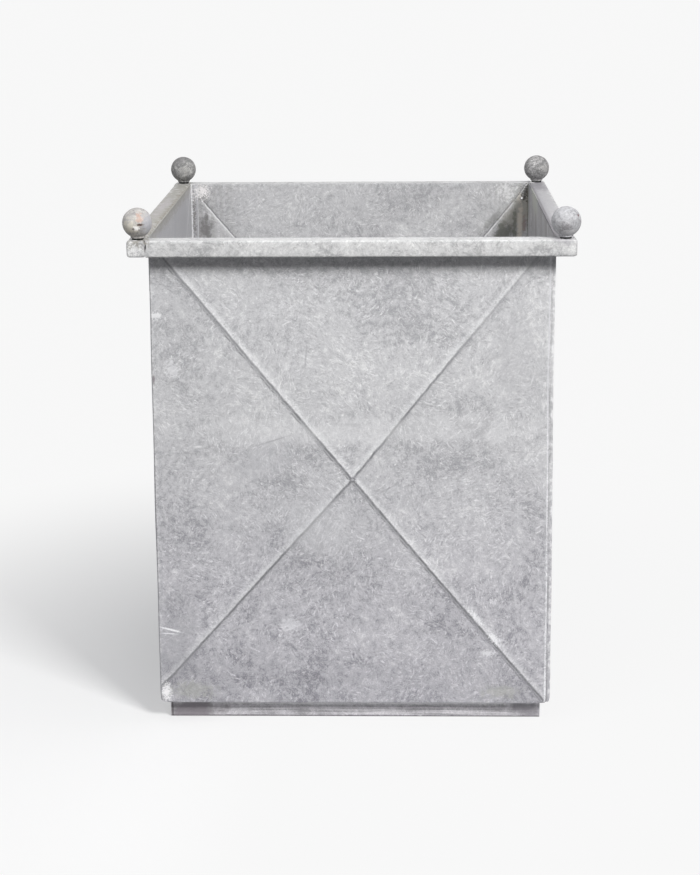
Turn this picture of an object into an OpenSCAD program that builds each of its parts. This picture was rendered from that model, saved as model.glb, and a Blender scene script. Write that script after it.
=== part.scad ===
/* [Overall] */
// Width across the rim, the same on all four sides
rim_w = 610; // [400:10:900]
// Height of the rim's top above the ground
rim_top = 707; // [400:1:900]

/* [Rim rails] */
// How far each rail stands out from the wall
rail_w = 26; // [24:1:40]
// Height of each rail
rail_h = 23; // [18:1:40]
// Wall thickness of the rail's square tube
rail_wall = 2; // [1.5:0.1:3]
// Radius on the tube's outer edges
rail_round = 2.5; // [2:0.1:4]
// Thickness of the plate that closes each rail's end
cap_t = 1.5; // [1:0.1:3]

/* [Walls] */
// Thickness of the sheet metal
sheet = 1.5; // [0.8:0.1:2.5]
// How far the middle of a cross-broken wall stands proud of its edges
crown = 10; // [2:0.5:16]
// Height above the bottom edge at which the lower left crease meets the corner
crease_rise = 28; // [4:1:60]
// Width of the return that wraps each corner behind the next wall
corner_return = 12; // [8:1:25]
// Distance from a corner to the edge of the wall that laps over the return
lap_setback = 6; // [3:0.5:7]
// Width of the solder fillet along each lap
seam_w = 2.2; // [1:0.1:2.6]
// How far the bottom return reaches in behind the plinth's face
bottom_land = 20; // [12:1:40]
// Diameter of the vent hole under the back rail
vent_d = 3; // [2:0.5:5]
// Distance from the corner to the vent hole
vent_inset = 13; // [8:1:30]
// Distance from the rail's underside down to the vent hole's edge
vent_drop = 0.5; // [0.2:0.1:20]

/* [Floor] */
// Height of the floor pan's upturned lip
pan_lip = 20; // [8:1:60]
// Gap between the pan and the corner returns
pan_gap = 0.5; // [0.2:0.1:2]
// Relief cut at each corner of the pan's lip
pan_relief = 14; // [8:1:30]
// Diameter of each drain hole
drain_d = 20; // [10:1:40]
// Distance from the pan's edge to the outer drain holes
drain_inset = 110; // [60:5:150]

/* [Plinth] */
// Height of the plinth under the walls
plinth_h = 27; // [15:1:80]
// How far the plinth's face stands back from the wall
plinth_setback = 10; // [4:0.5:30]
// Width of the plinth's folded flanges
plinth_flange = 20; // [10:1:40]

/* [Finials] */
// Diameter of the ball
ball_d = 41; // [30:1:60]
// Wall thickness of the hollow ball
ball_wall = 2.5; // [1.5:0.1:5]
// Diameter of the collar under the ball
collar_d = 23.5; // [20:0.5:26]
// How far the collar's foot lies below the ball's lowest point
collar_drop = 0.2; // [0:0.1:8]
// Depth of the threaded hole in the ball's boss
thread_depth = 16; // [10:1:20]
// How far each finial stands inboard of its rail's centreline
finial_setback = 1.7; // [0:0.1:3]
// Diameter of the threaded stud
stud_d = 8; // [6:1:9]
// How far the stud screws into the ball
stud_engage = 13; // [8:1:16]
// How far the stud reaches past its nut
stud_tail = 2; // [1:0.5:6]
// Clearance of the stud in the rail's hole, all round
stud_clear = 0.5; // [0.2:0.1:1]
// Outer diameter of the sealing washer under the collar
seal_d = 16; // [14:0.5:22]
// Thickness of the sealing washer
seal_t = 2.2; // [1:0.1:4]
// Width across the flats of the nut held inside the rail
nut_af = 13; // [12:0.5:15]
// Height of the nut
nut_h = 6.5; // [4:0.5:10]
// Chamfer on the nut's corners
nut_chamfer = 0.8; // [0.3:0.1:1.2]

/* [Hidden] */

// Sides and corners are numbered anticlockwise, seen from above, from the front
FRONT = 0;
RIGHT = 1;
BACK = 2;
LEFT = 3;
SIDES = [FRONT, RIGHT, BACK, LEFT];

// Distances from the middle of the planter, and across the bottom return
rim_half = rim_w / 2;
wall_half = rim_half - rail_w;
wall_left = -wall_half + sheet;
wall_right = wall_half - lap_setback;
pan_half = wall_half - 2 * sheet - pan_gap;
plinth_half = wall_half - plinth_setback;
finial_at = rim_half - rail_w / 2 - finial_setback;
bottom_return = plinth_setback + bottom_land;

// Heights above the ground
wall_bottom = plinth_h;
pan_bottom = wall_bottom + sheet;
rail_bottom = rim_top - rail_h;
seal_bottom = rim_top;
collar_bottom = seal_bottom + seal_t;
ball_rise = ball_d / 2 + collar_drop;
nut_bottom = rim_top - rail_wall - nut_h;
stud_bottom = nut_bottom - stud_tail;
vent_z = rail_bottom - vent_drop - vent_d / 2;
// Extra length that carries a cut clean through a surface
past = 1;

$fn = 48;
BALL_FN = 96;

zinc = [0.74, 0.74, 0.76];
zinc_light = [0.79, 0.79, 0.79];
zinc_dark = [0.60, 0.60, 0.63];
ball_grey = [0.56, 0.56, 0.57];
solder = [0.86, 0.86, 0.88];
bright_steel = [0.70, 0.71, 0.73];
black_rubber = [0.12, 0.12, 0.13];

// Turns a piece drawn for the front to another side or corner
module at_side(side) {
    rotate([0, 0, 90 * side]) children();
}

// Sheet folded along the four creases that rise from its corners to a crowned
// middle. Its outer face meets the wall line at the edges. The lower left crease
// starts crease_rise above the corner, so the flat corner piece below it is kept.
module cross_broken_sheet(thick) {
    outline = [
        [wall_left, wall_bottom],
        [wall_right, wall_bottom],
        [wall_right, rim_top],
        [wall_left, rim_top],
        [wall_left, wall_bottom + crease_rise]
    ];
    middle = [(wall_left + wall_right) / 2, (wall_bottom + rim_top) / 2];
    outer = concat(
        [for (p = outline) [p[0], -wall_half, p[1]]],
        [[middle[0], -wall_half - crown, middle[1]]]
    );
    inner = [for (p = outer) p + [0, thick, 0]];
    apex = len(outline);
    edges = len(outline);
    back = len(outer);
    facets = [[4, 1, 0], [apex, 2, 1], [apex, 3, 2], [apex, 4, 3], [apex, 1, 4]];
    polyhedron(
        points = concat(outer, inner),
        faces = concat(
            facets,
            [for (f = facets) [f[2] + back, f[1] + back, f[0] + back]],
            [for (i = [0 : edges - 1]) let (n = (i + 1) % edges) [i + back, i, n]],
            [for (i = [0 : edges - 1]) let (n = (i + 1) % edges) [n + back, i + back, n]]
        )
    );
}

// One wall: the cross-broken sheet, the return that wraps its left corner and the
// mitred return along its bottom edge
module wall(side) {
    color(zinc)
    at_side(side) {
        cross_broken_sheet(sheet);
        corner_return_strip();
        bottom_return_strip();
    }
}

module corner_return_strip() {
    translate([wall_left, -wall_half, pan_bottom])
        cube([sheet, corner_return, rim_top - pan_bottom]);
}

module bottom_return_strip() {
    inner_edge = -wall_half + bottom_return;
    translate([0, 0, wall_bottom])
        linear_extrude(sheet)
            polygon([
                [wall_left, -wall_half],
                [wall_right, -wall_half],
                [wall_right, -wall_right],
                [-inner_edge, inner_edge],
                [inner_edge, inner_edge],
                [wall_left, wall_left]
            ]);
}

// The back wall also has the small vent hole under the rail
module vented_wall(side) {
    color(zinc)
    difference() {
        wall(side);
        at_side(side)
            translate([-wall_half + vent_inset, -wall_half + sheet + past, vent_z])
                rotate([90, 0, 0])
                    cylinder(d = vent_d, h = sheet + crown + 2 * past);
    }
}

// Square with round corners, its lowest corner at the origin
module round_square(width, height, radius) {
    translate([radius, 0]) square([width - 2 * radius, height]);
    translate([0, radius]) square([width, height - 2 * radius]);
    for (x = [radius, width - radius], y = [radius, height - radius])
        translate([x, y]) circle(radius);
}

// Square tube that butts against the next rail at its left end and runs through to
// the corner at its right end. Its back is scribed to the crowned wall.
module rim_rail(side) {
    tube_left = -wall_half;
    tube_length = rim_half - cap_t - tube_left;
    color(zinc_light)
    at_side(side)
        difference() {
            translate([tube_left, -rim_half, rail_bottom])
                rotate([90, 0, 90])
                    linear_extrude(tube_length)
                        difference() {
                            round_square(rail_w, rail_h, rail_round);
                            translate([rail_wall, rail_wall])
                                square([rail_w - 2 * rail_wall, rail_h - 2 * rail_wall]);
                        }
            cross_broken_sheet(rail_w / 2);
            finial_post(stud_d / 2 + stud_clear, nut_bottom, rim_top + past);
        }
}

// Plate that closes the open end of a rail
module rail_cap(side) {
    color(zinc_light)
    at_side(side)
        translate([rim_half - cap_t, -rim_half, rail_bottom])
            rotate([90, 0, 90])
                linear_extrude(cap_t) round_square(rail_w, rail_h, rail_round);
}

// Upright cylinder on the axis of the finial at the right end of a rail
module finial_post(radius, low, high) {
    translate([finial_at, -finial_at, low]) cylinder(r = radius, h = high - low);
}

// Hollow ball with a collar and an inner boss that takes the stud's thread
module finial(corner) {
    color(ball_grey)
    at_side(corner)
        translate([finial_at, -finial_at, collar_bottom])
            difference() {
                union() {
                    translate([0, 0, ball_rise]) sphere(d = ball_d, $fn = BALL_FN);
                    cylinder(d = collar_d, h = ball_rise);
                }
                difference() {
                    translate([0, 0, ball_rise]) sphere(d = ball_d - 2 * ball_wall, $fn = BALL_FN);
                    cylinder(d = collar_d - 2 * ball_wall, h = thread_depth + ball_wall);
                }
                translate([0, 0, -past]) cylinder(d = stud_d, h = thread_depth + past);
            }
}

module finial_studs() {
    color(bright_steel)
    for (corner = SIDES)
        at_side(corner) finial_post(stud_d / 2, stud_bottom, collar_bottom + stud_engage);
}

// Flat ring round each stud between the collar and the rail
module sealing_washers() {
    color(black_rubber)
    for (corner = SIDES)
        at_side(corner)
            difference() {
                finial_post(seal_d / 2, seal_bottom, collar_bottom);
                finial_post(stud_d / 2, seal_bottom - past, collar_bottom + past);
            }
}

// Hexagon nut with its corners turned off at both faces
module hex_nut() {
    corner_r = nut_af / 2 / cos(30);
    difference() {
        intersection() {
            cylinder(r = corner_r, h = nut_h, $fn = 6);
            rotate_extrude()
                polygon([
                    [0, 0],
                    [corner_r - nut_chamfer, 0],
                    [corner_r, nut_chamfer],
                    [corner_r, nut_h - nut_chamfer],
                    [corner_r - nut_chamfer, nut_h],
                    [0, nut_h]
                ]);
        }
        translate([0, 0, -past]) cylinder(d = stud_d, h = nut_h + 2 * past);
    }
}

// Nuts fixed under each rail's top, put in before the rail's end is closed
module captive_nuts() {
    color(bright_steel)
    for (corner = SIDES)
        at_side(corner) translate([finial_at, -finial_at, nut_bottom]) hex_nut();
}

// Drop-in pan that rests on the walls' bottom returns, with one drain hole in the
// middle and one towards each corner
module floor_pan() {
    lip_length = 2 * (pan_half - pan_relief);
    drain_at = pan_half - drain_inset;
    color(zinc_dark)
    translate([0, 0, pan_bottom])
        difference() {
            union() {
                translate([-pan_half, -pan_half, 0]) cube([2 * pan_half, 2 * pan_half, sheet]);
                for (side = SIDES)
                    at_side(side)
                        translate([-lip_length / 2, -pan_half, 0]) cube([lip_length, sheet, pan_lip]);
            }
            drain_hole(0, 0);
            for (corner = SIDES) at_side(corner) drain_hole(drain_at, -drain_at);
        }
}

module drain_hole(x, y) {
    translate([x, y, -past]) cylinder(d = drain_d, h = sheet + 2 * past);
}

// Channel folded from sheet: an upright web with a mitred flange at its top and at
// its foot. It butts against the next side at its left end.
module plinth_side(side) {
    web_left = -plinth_half + sheet;
    flange_edge = -plinth_half + plinth_flange;
    color(zinc_dark)
    at_side(side) {
        translate([web_left, -plinth_half, 0]) cube([plinth_half - web_left, sheet, plinth_h]);
        for (z = [0, plinth_h - sheet])
            translate([0, 0, z])
                linear_extrude(sheet)
                    polygon([
                        [web_left, -plinth_half],
                        [plinth_half, -plinth_half],
                        [-flange_edge, flange_edge],
                        [flange_edge, flange_edge],
                        [web_left, web_left]
                    ]);
    }
}

// Solder fillet that fills the step where a wall laps over the next one's return
module lap_seam(corner) {
    color(solder)
    at_side(corner)
        translate([wall_right, -wall_half, pan_bottom])
            linear_extrude(rim_top - pan_bottom)
                polygon([[0, 0], [seam_w, sheet], [0, sheet]]);
}

wall(FRONT);  // front_wall
wall(RIGHT);  // right_wall
vented_wall(BACK);  // back_wall
wall(LEFT);  // left_wall
rim_rail(FRONT);  // front_rim_rail
rim_rail(RIGHT);  // right_rim_rail
rim_rail(BACK);  // back_rim_rail
rim_rail(LEFT);  // left_rim_rail
rail_cap(FRONT);  // front_rail_cap
rail_cap(RIGHT);  // right_rail_cap
rail_cap(BACK);  // back_rail_cap
rail_cap(LEFT);  // left_rail_cap
finial(FRONT);  // finial_front_right
finial(RIGHT);  // finial_back_right
finial(BACK);  // finial_back_left
finial(LEFT);  // finial_front_left
finial_studs();
sealing_washers();
captive_nuts();
floor_pan();
plinth_side(FRONT);  // front_plinth_side
plinth_side(RIGHT);  // right_plinth_side
plinth_side(BACK);  // back_plinth_side
plinth_side(LEFT);  // left_plinth_side
lap_seam(FRONT);  // seam_front_right
lap_seam(RIGHT);  // seam_back_right
lap_seam(BACK);  // seam_back_left
lap_seam(LEFT);  // seam_front_left
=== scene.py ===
"""Dresses a square, cross-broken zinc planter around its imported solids.

Each sub-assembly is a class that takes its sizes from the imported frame, builds its
meshes in metres in the same frame, and dresses them in a procedural finish.
"""

from __future__ import annotations

import logging
import math
from dataclasses import dataclass, field, replace
from enum import Enum
from typing import Any, Callable, Sequence

import bmesh
import bpy
import numpy as np
from mathutils import Matrix, Vector


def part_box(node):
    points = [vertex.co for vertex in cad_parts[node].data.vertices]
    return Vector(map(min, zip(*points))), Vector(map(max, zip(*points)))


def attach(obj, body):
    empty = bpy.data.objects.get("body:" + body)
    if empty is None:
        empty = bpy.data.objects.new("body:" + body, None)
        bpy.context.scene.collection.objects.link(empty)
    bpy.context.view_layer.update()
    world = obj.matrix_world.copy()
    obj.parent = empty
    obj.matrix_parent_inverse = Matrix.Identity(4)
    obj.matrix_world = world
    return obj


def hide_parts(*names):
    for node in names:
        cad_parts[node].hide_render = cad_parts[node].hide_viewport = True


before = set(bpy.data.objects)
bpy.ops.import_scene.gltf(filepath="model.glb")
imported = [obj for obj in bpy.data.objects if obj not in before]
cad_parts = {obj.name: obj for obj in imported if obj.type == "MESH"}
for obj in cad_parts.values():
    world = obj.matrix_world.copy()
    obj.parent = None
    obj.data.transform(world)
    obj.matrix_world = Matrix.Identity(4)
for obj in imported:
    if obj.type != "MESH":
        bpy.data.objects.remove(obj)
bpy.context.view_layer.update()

BODY = "root"
MM = 0.001
FULL_TURN = 6.283
WHITE = (1.0, 1.0, 1.0, 1.0)
LOG = logging.getLogger("planter")

Colour = tuple[float, float, float, float]
Faces = list[tuple[int, ...]]
Socket = bpy.types.NodeSocket
Tree = bpy.types.NodeTree
Piece = bpy.types.Object
Material = bpy.types.Material
Pair = tuple[float, float]
Triple = tuple[float, float, float]


def srgb(red: float, green: float, blue: float) -> Colour:
    """Turns an 8-bit screen colour into a linear one.

    Args:
        red: Red, 0 to 255.
        green: Green, 0 to 255.
        blue: Blue, 0 to 255.

    Returns:
        The linear colour with an alpha of 1.
    """

    def linear(level: float) -> float:
        """Undoes the screen curve of one channel."""
        share = level / 255.0
        return share / 12.92 if share <= 0.04045 else ((share + 0.055) / 1.055) ** 2.4

    return (linear(red), linear(green), linear(blue), 1.0)


class Side(Enum):
    """The four sides, numbered anticlockwise from the front, seen from above."""

    FRONT = 0
    RIGHT = 1
    BACK = 2
    LEFT = 3

    @property
    def word(self) -> str:
        """The side's name in node names."""
        return self.name.lower()

    @property
    def corner(self) -> str:
        """The name of the corner at this side's right end, seen from outside."""
        return ("front_right", "back_right", "back_left", "front_left")[self.value]

    def turn(self, points: np.ndarray) -> np.ndarray:
        """Turns points drawn for the front to this side.

        Args:
            points: Points as rows of x, y, z.

        Returns:
            The turned points.
        """
        angle = self.value * math.pi / 2.0
        cos, sin = round(math.cos(angle)), round(math.sin(angle))
        turned = points.copy()
        turned[:, 0] = cos * points[:, 0] - sin * points[:, 1]
        turned[:, 1] = sin * points[:, 0] + cos * points[:, 1]
        return turned


@dataclass(frozen=True)
class PlanterSizes:
    """The planter's main sizes in metres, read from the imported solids."""

    rim_half: float
    rim_top: float
    rail_bottom: float
    rail_start: float
    rail_end: float
    wall_half: float
    wall_left: float
    wall_right: float
    wall_bottom: float
    crown: float
    bottom_return: float
    sheet: float
    collar_foot: float
    ball_radius: float
    ball_centre: float
    finial_at: float
    plinth_half: float
    plinth_start: float
    plinth_flange: float
    pan_bottom: float

    @classmethod
    def from_frame(cls) -> PlanterSizes:
        """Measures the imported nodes."""
        rail_low, rail_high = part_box("front_rim_rail")
        wall_low, wall_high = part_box("front_wall")
        cap_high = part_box("front_rail_cap")[1]
        ball_low, ball_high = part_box("finial_front_right")
        plinth_low, plinth_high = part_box("front_plinth_side")
        wall_half = -rail_high.y
        radius = (ball_high.x - ball_low.x) / 2.0
        return cls(
            rim_half=cap_high.x,
            rim_top=rail_high.z,
            rail_bottom=rail_low.z,
            rail_start=rail_low.x,
            rail_end=rail_high.x,
            wall_half=wall_half,
            wall_left=wall_low.x,
            wall_right=wall_high.x,
            wall_bottom=wall_low.z,
            crown=-wall_low.y - wall_half,
            bottom_return=wall_high.y + wall_half,
            sheet=wall_low.x + wall_half,
            collar_foot=ball_low.z,
            ball_radius=radius,
            ball_centre=ball_high.z - radius,
            finial_at=(ball_high.x + ball_low.x) / 2.0,
            plinth_half=plinth_high.x,
            plinth_start=plinth_low.x,
            plinth_flange=plinth_high.y - plinth_low.y,
            pan_bottom=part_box("floor_pan")[0].z,
        )


def linked(name: str, data: bpy.types.ID) -> Piece:
    """Puts an object into the scene.

    Args:
        name: The object's name.
        data: Its mesh, lamp or camera.

    Returns:
        The object.
    """
    made = bpy.data.objects.new(name, data)
    bpy.context.scene.collection.objects.link(made)
    return made


def evaluated_mesh(piece: Piece) -> bpy.types.Mesh:
    """What a piece's modifiers make of it, as a plain mesh."""
    bpy.context.view_layer.update()
    graph = bpy.context.evaluated_depsgraph_get()
    return bpy.data.meshes.new_from_object(piece.evaluated_get(graph))


def shade(mesh: bpy.types.Mesh, sharp_degrees: float) -> None:
    """Shades a mesh smoothly, but for edges that turn more than an angle."""
    mesh.shade_smooth()
    mesh.set_sharp_from_angle(angle=math.radians(sharp_degrees))
    mesh.update()


def mesh_piece(
    name: str,
    points: np.ndarray,
    faces: Faces,
    attributes: dict[str, np.ndarray] | None = None,
    sharp_degrees: float = 40.0,
) -> Piece:
    """Makes a mesh object with smooth shading up to a given edge angle.

    Args:
        name: The piece's name.
        points: Points as rows of x, y, z.
        faces: Corner numbers of each face.
        attributes: One value for each point, by name.
        sharp_degrees: Edges that turn more than this stay sharp.

    Returns:
        The linked object.
    """
    mesh = bpy.data.meshes.new(name)
    mesh.from_pydata([tuple(p) for p in points], [], faces)
    for key, values in (attributes or {}).items():
        layer = mesh.attributes.new(key, "FLOAT", "POINT")
        layer.data.foreach_set("value", np.asarray(values, np.float32))
    shade(mesh, sharp_degrees)
    return linked(name, mesh)


def thicken(points: np.ndarray, faces: Faces, thickness: float) -> tuple[np.ndarray, Faces, np.ndarray]:
    """Gives an open skin a second skin behind it and closes its borders.

    Args:
        points: The outer skin's points.
        faces: The outer skin's faces, seen anticlockwise from outside.
        thickness: The distance between the skins.

    Returns:
        The points, the faces, and for each point 1 on the second skin and 0 on the first.
    """
    normals = np.zeros_like(points)
    uses: dict[tuple[int, int], int] = {}
    for face in faces:
        a, b, c = points[face[0]], points[face[1]], points[face[2]]
        normal = np.cross(b - a, c - a)
        for index, corner in enumerate(face):
            normals[corner] += normal
            after = face[(index + 1) % len(face)]
            uses[(corner, after)] = uses.get((corner, after), 0) + 1
    normals /= np.maximum(np.linalg.norm(normals, axis=1, keepdims=True), 1e-12)
    count = len(points)
    both = np.vstack([points, points - normals * thickness])
    closed = list(faces)
    closed += [tuple(corner + count for corner in reversed(face)) for face in faces]
    for start, end in uses:
        if (end, start) not in uses:
            closed.append((end, start, start + count, end + count))
    inner = np.concatenate([np.zeros(count), np.ones(count)])
    return both, closed, inner


def paint(piece: Piece, material: Material) -> None:
    """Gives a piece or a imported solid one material."""
    piece.data.materials.clear()
    piece.data.materials.append(material)


def dress(
    piece: Piece, material: Material, slot: str, *nodes: str
) -> Piece:
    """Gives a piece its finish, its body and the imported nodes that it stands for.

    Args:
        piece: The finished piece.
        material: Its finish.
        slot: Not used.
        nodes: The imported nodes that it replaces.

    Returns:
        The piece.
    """
    paint(piece, material)
    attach(piece, BODY)
    if nodes:
        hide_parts(*nodes)
    LOG.info("%s: %d faces", piece.name, len(piece.data.polygons))
    return piece


def joined(pieces: Sequence[Piece]) -> Piece:
    """Puts the meshes of several pieces into the first one.

    Args:
        pieces: The pieces, whose own objects go but for the first.

    Returns:
        The first piece, with all the meshes.
    """
    whole = bmesh.new()
    for piece in pieces:
        whole.from_mesh(piece.data)
    whole.to_mesh(pieces[0].data)
    whole.free()
    for piece in pieces[1:]:
        bpy.data.objects.remove(piece)
    pieces[0].data.shade_smooth()
    return pieces[0]


def smooth_step(values: np.ndarray) -> np.ndarray:
    """Eases 0 to 1 with level ends, and holds outside."""
    share = np.clip(values, 0.0, 1.0)
    return share * share * (3.0 - 2.0 * share)


@dataclass(frozen=True)
class HandWork:
    """The small wander that hand folding leaves in the box's corners and faces."""

    sizes: PlanterSizes
    right_bow: float = 1.5 * MM
    right_bow_height: float = 0.50
    left_bow: float = 0.6 * MM
    left_bow_height: float = 0.33
    bow_length: float = 0.15
    ripple: float = 0.25 * MM
    flare: float = 3.6 * MM
    ding: float = 3.0 * MM
    ding_reach: float = 7.0 * MM
    ripple_pace: float = 31.0
    foot_hold: Pair = (0.02, 0.10)
    rim_hold: float = 0.08

    def settle(self, points: np.ndarray) -> np.ndarray:
        """Moves points of the box's walls and seams by the same smooth wander.

        Args:
            points: Points in the planter's frame.

        Returns:
            The moved points.
        """
        moved = points.copy()
        low, high = self.sizes.wall_bottom, self.sizes.rail_bottom
        height = points[:, 2]
        above_foot = smooth_step((height - low - self.foot_hold[0]) / self.foot_hold[1])
        hold = above_foot * smooth_step((high - height) / self.rim_hold)
        share = np.clip(points[:, 0] / self.sizes.wall_half, -1.0, 1.0)
        right = np.exp(-(((height - self.right_bow_height) / self.bow_length) ** 2))
        left = np.exp(-(((height - self.left_bow_height) / self.bow_length) ** 2))
        bow = np.where(share > 0.0, -self.right_bow * right, -self.left_bow * left)
        wave = self.ripple * np.sin(height * self.ripple_pace + share * 2.0)
        moved[:, 0] += hold * (np.abs(share) ** 3 * bow + wave * share)
        drop = np.clip((high - height) / (high - low), 0.0, 1.1)
        moved[:, :2] *= 1.0 + (self.flare / self.sizes.wall_half * drop)[:, None]
        near = np.exp(-np.abs(self.sizes.wall_half - np.abs(points[:, :2])) / self.ding_reach)
        ding = near[:, 0] * near[:, 1] * np.exp(-np.abs(height - low) / (0.5 * self.ding_reach))
        moved[:, :2] -= np.sign(points[:, :2]) * (self.ding * ding)[:, None]
        moved[:, 2] += 0.5 * self.ding * ding
        return moved


@dataclass
class Wall:
    """One cross-broken wall, with the returns folded along its left and bottom edges."""

    sizes: PlanterSizes
    side: Side
    hand: HandWork
    crease_rise: float = 27.0 * MM
    corner_return: float = 12.0 * MM
    bend: float = 1.4 * MM
    rows: int = 96
    row_power: float = 1.35
    ridge_height: float = 1.15 * MM
    ridge_half: float = 8.5 * MM
    ridge_low_half: float = 4.8 * MM
    ridge_power: float = 1.6
    groove_depth: float = 0.4 * MM
    groove_half: float = 1.4 * MM
    knot_radius: float = 3.4 * MM
    knot_height: float = 0.6 * MM
    buckle: float = 0.5 * MM
    bend_steps: int = 6
    mitre_gap: float = 0.2 * MM
    knot_shift: float = 1.5 * MM
    drops: Triple = (5.0 * MM, 3.5 * MM, 3.0 * MM)
    vent: Pair | None = None
    vent_radius: float = 1.5 * MM
    vent_cut: float = 0.06
    edge_hold: float = 12.0 * MM
    middle_reach: float = 0.12
    drift_start: float = 25.0 * MM
    drift_reach: float = 0.05
    knot_width: float = 1.4 * MM
    knot_clear: float = 5.0 * MM
    lower_ease: float = 0.02
    buckle_pace: float = 14.0
    buckle_hold: float = 0.06
    wear_reach: float = 3.0 * MM
    wear_below: float = 4.0 * MM
    buckles: int = 9
    points: list[Pair] = field(default_factory=list)
    index: dict[tuple[int, int], int] = field(default_factory=dict)
    faces: Faces = field(default_factory=list)

    @property
    def columns(self) -> list[float]:
        """Distances of the mesh lines that run beside a crease."""
        half = self.groove_half
        return [0.0, 0.5 * half, half, 2.3 * MM, 4.0 * MM, 6.2 * MM, self.ridge_half]

    def __post_init__(self) -> None:
        """Places the panel's corners and its middle."""
        sizes = self.sizes
        self.x0 = sizes.wall_left + self.bend
        self.x1 = sizes.wall_right
        self.z0 = sizes.wall_bottom + self.bend
        self.z1 = sizes.rim_top
        self.middle = np.array(
            [(sizes.wall_left + sizes.wall_right) / 2, (sizes.wall_bottom + sizes.rim_top) / 2]
        )
        self.top_left = np.array([self.x0, self.z1])
        self.top_right = np.array([self.x1, self.z1])
        self.bottom_right = np.array([self.x1, self.z0])
        self.bottom_left = np.array([self.x0, self.z0])
        self.crease_foot = np.array([self.x0, sizes.wall_bottom + self.crease_rise])

    def border(self, plane: np.ndarray, below: float = 0.0) -> np.ndarray:
        """Distance to the panel's border, whose bottom edge may be taken lower."""
        x, z = plane.T
        return np.minimum.reduce([x - self.x0, self.x1 - x, self.z1 - z, z - self.z0 + below])

    def from_middle(self, plane: np.ndarray) -> np.ndarray:
        """Distance of each point to the panel's middle."""
        return np.hypot(plane[:, 0] - self.middle[0], plane[:, 1] - self.middle[1])

    def arm(self, corner: np.ndarray) -> tuple[np.ndarray, float]:
        """The direction and length of the crease from a corner to the middle."""
        along = self.middle - corner
        length = np.linalg.norm(along)
        return along / length, length

    def drift(self, plane: np.ndarray) -> np.ndarray:
        """Lets the creases miss the corners a little, as hand folding does.

        Args:
            plane: The panel's points in its own plane.

        Returns:
            The moved points, with the panel's border where it was.
        """
        moved = plane.copy()
        hold = smooth_step(self.border(plane) / self.edge_hold)
        moved[:, 0] += self.knot_shift * np.exp(-((self.from_middle(plane) / self.middle_reach) ** 2))
        for corner, drop in zip((self.top_left, self.top_right, self.crease_foot), self.drops):
            along, length = self.arm(corner)
            share = (plane - corner) @ along
            gap = np.linalg.norm(plane - corner - share[:, None] * along, axis=1)
            fade = smooth_step(share / self.drift_start) * np.clip(1.0 - share / length, 0.0, 1.0)
            moved[:, 1] -= drop * hold * fade * np.exp(-((gap / self.drift_reach) ** 2))
        return moved

    def at(self, point: np.ndarray) -> int:
        """The number of a point of the panel's plane, made on first use."""
        key = (round(point[0] * 1e7), round(point[1] * 1e7))
        if key not in self.index:
            self.index[key] = len(self.points)
            self.points.append((float(point[0]), float(point[1])))
        return self.index[key]

    @staticmethod
    def crossing(p: np.ndarray, d: np.ndarray, q: np.ndarray, e: np.ndarray) -> np.ndarray:
        """Where the line through p along d meets the line through q along e."""
        share = np.cross(q - p, e) / np.cross(d, e)
        return p + share * d

    def facet(self, base: Sequence[np.ndarray]) -> None:
        """Meshes one facet between two creases, with fine columns beside each crease.

        Args:
            base: The facet's outline along the panel's border, from crease to crease.
        """
        apex = self.middle
        inside = (base[0] + base[-1] + apex) / 3.0
        shares = 1.0 - (1.0 - np.linspace(0.0, 1.0, self.rows + 1)) ** self.row_power

        def shifted(start: np.ndarray, offset: float) -> tuple[np.ndarray, np.ndarray]:
            """The line beside a crease: a point of it and its direction."""
            along = (apex - start) / np.linalg.norm(apex - start)
            across = np.array([-along[1], along[0]])
            if np.dot(inside - start, across) < 0:
                across = -across
            return start + across * offset, along

        def edge_line(offset: float, first: bool) -> tuple[np.ndarray, np.ndarray]:
            """The ends of the mesh line at a distance from a crease."""
            near, far = (base[0], base[-1]) if first else (base[-1], base[0])
            after = base[1] if first else base[-2]
            start, along = shifted(near, offset)
            other, other_along = shifted(far, offset)
            foot = self.crossing(start, along, near, after - near)
            head = self.crossing(start, along, other, other_along)
            return foot, head

        for first in (True, False):
            grid = []
            for offset in self.columns:
                foot, head = edge_line(offset, first)
                grid.append([self.at(foot + (head - foot) * share) for share in shares])
            for left, right in zip(grid, grid[1:]):
                for row in range(self.rows):
                    quad = (left[row], left[row + 1], right[row + 1], right[row])
                    self.faces.append(quad if first else quad[::-1])

        foot_a, head = edge_line(self.ridge_half, True)
        foot_b, _ = edge_line(self.ridge_half, False)
        border = [foot_a, *base[1:-1], foot_b]
        lengths = [float(np.linalg.norm(b - a)) for a, b in zip(border, border[1:])]
        stops = np.cumsum([0.0, *lengths]) / sum(lengths)
        stops = np.round(stops * self.rows) / self.rows
        previous: list[int] = []
        for row, share in enumerate(shares):
            count = self.rows - row
            steps = np.linspace(0.0, 1.0, count + 1) if count else np.array([0.0])
            feet = np.stack(
                [np.interp(steps, stops, [p[axis] for p in border]) for axis in (0, 1)], axis=1
            )
            line = [self.at(foot + (head - foot) * share) for foot in feet]
            for step in range(len(line)):
                if previous:
                    self.faces.append((previous[step], line[step], previous[step + 1]))
                    if step + 1 < len(line):
                        self.faces.append((previous[step + 1], line[step], line[step + 1]))
            previous = line

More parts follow.
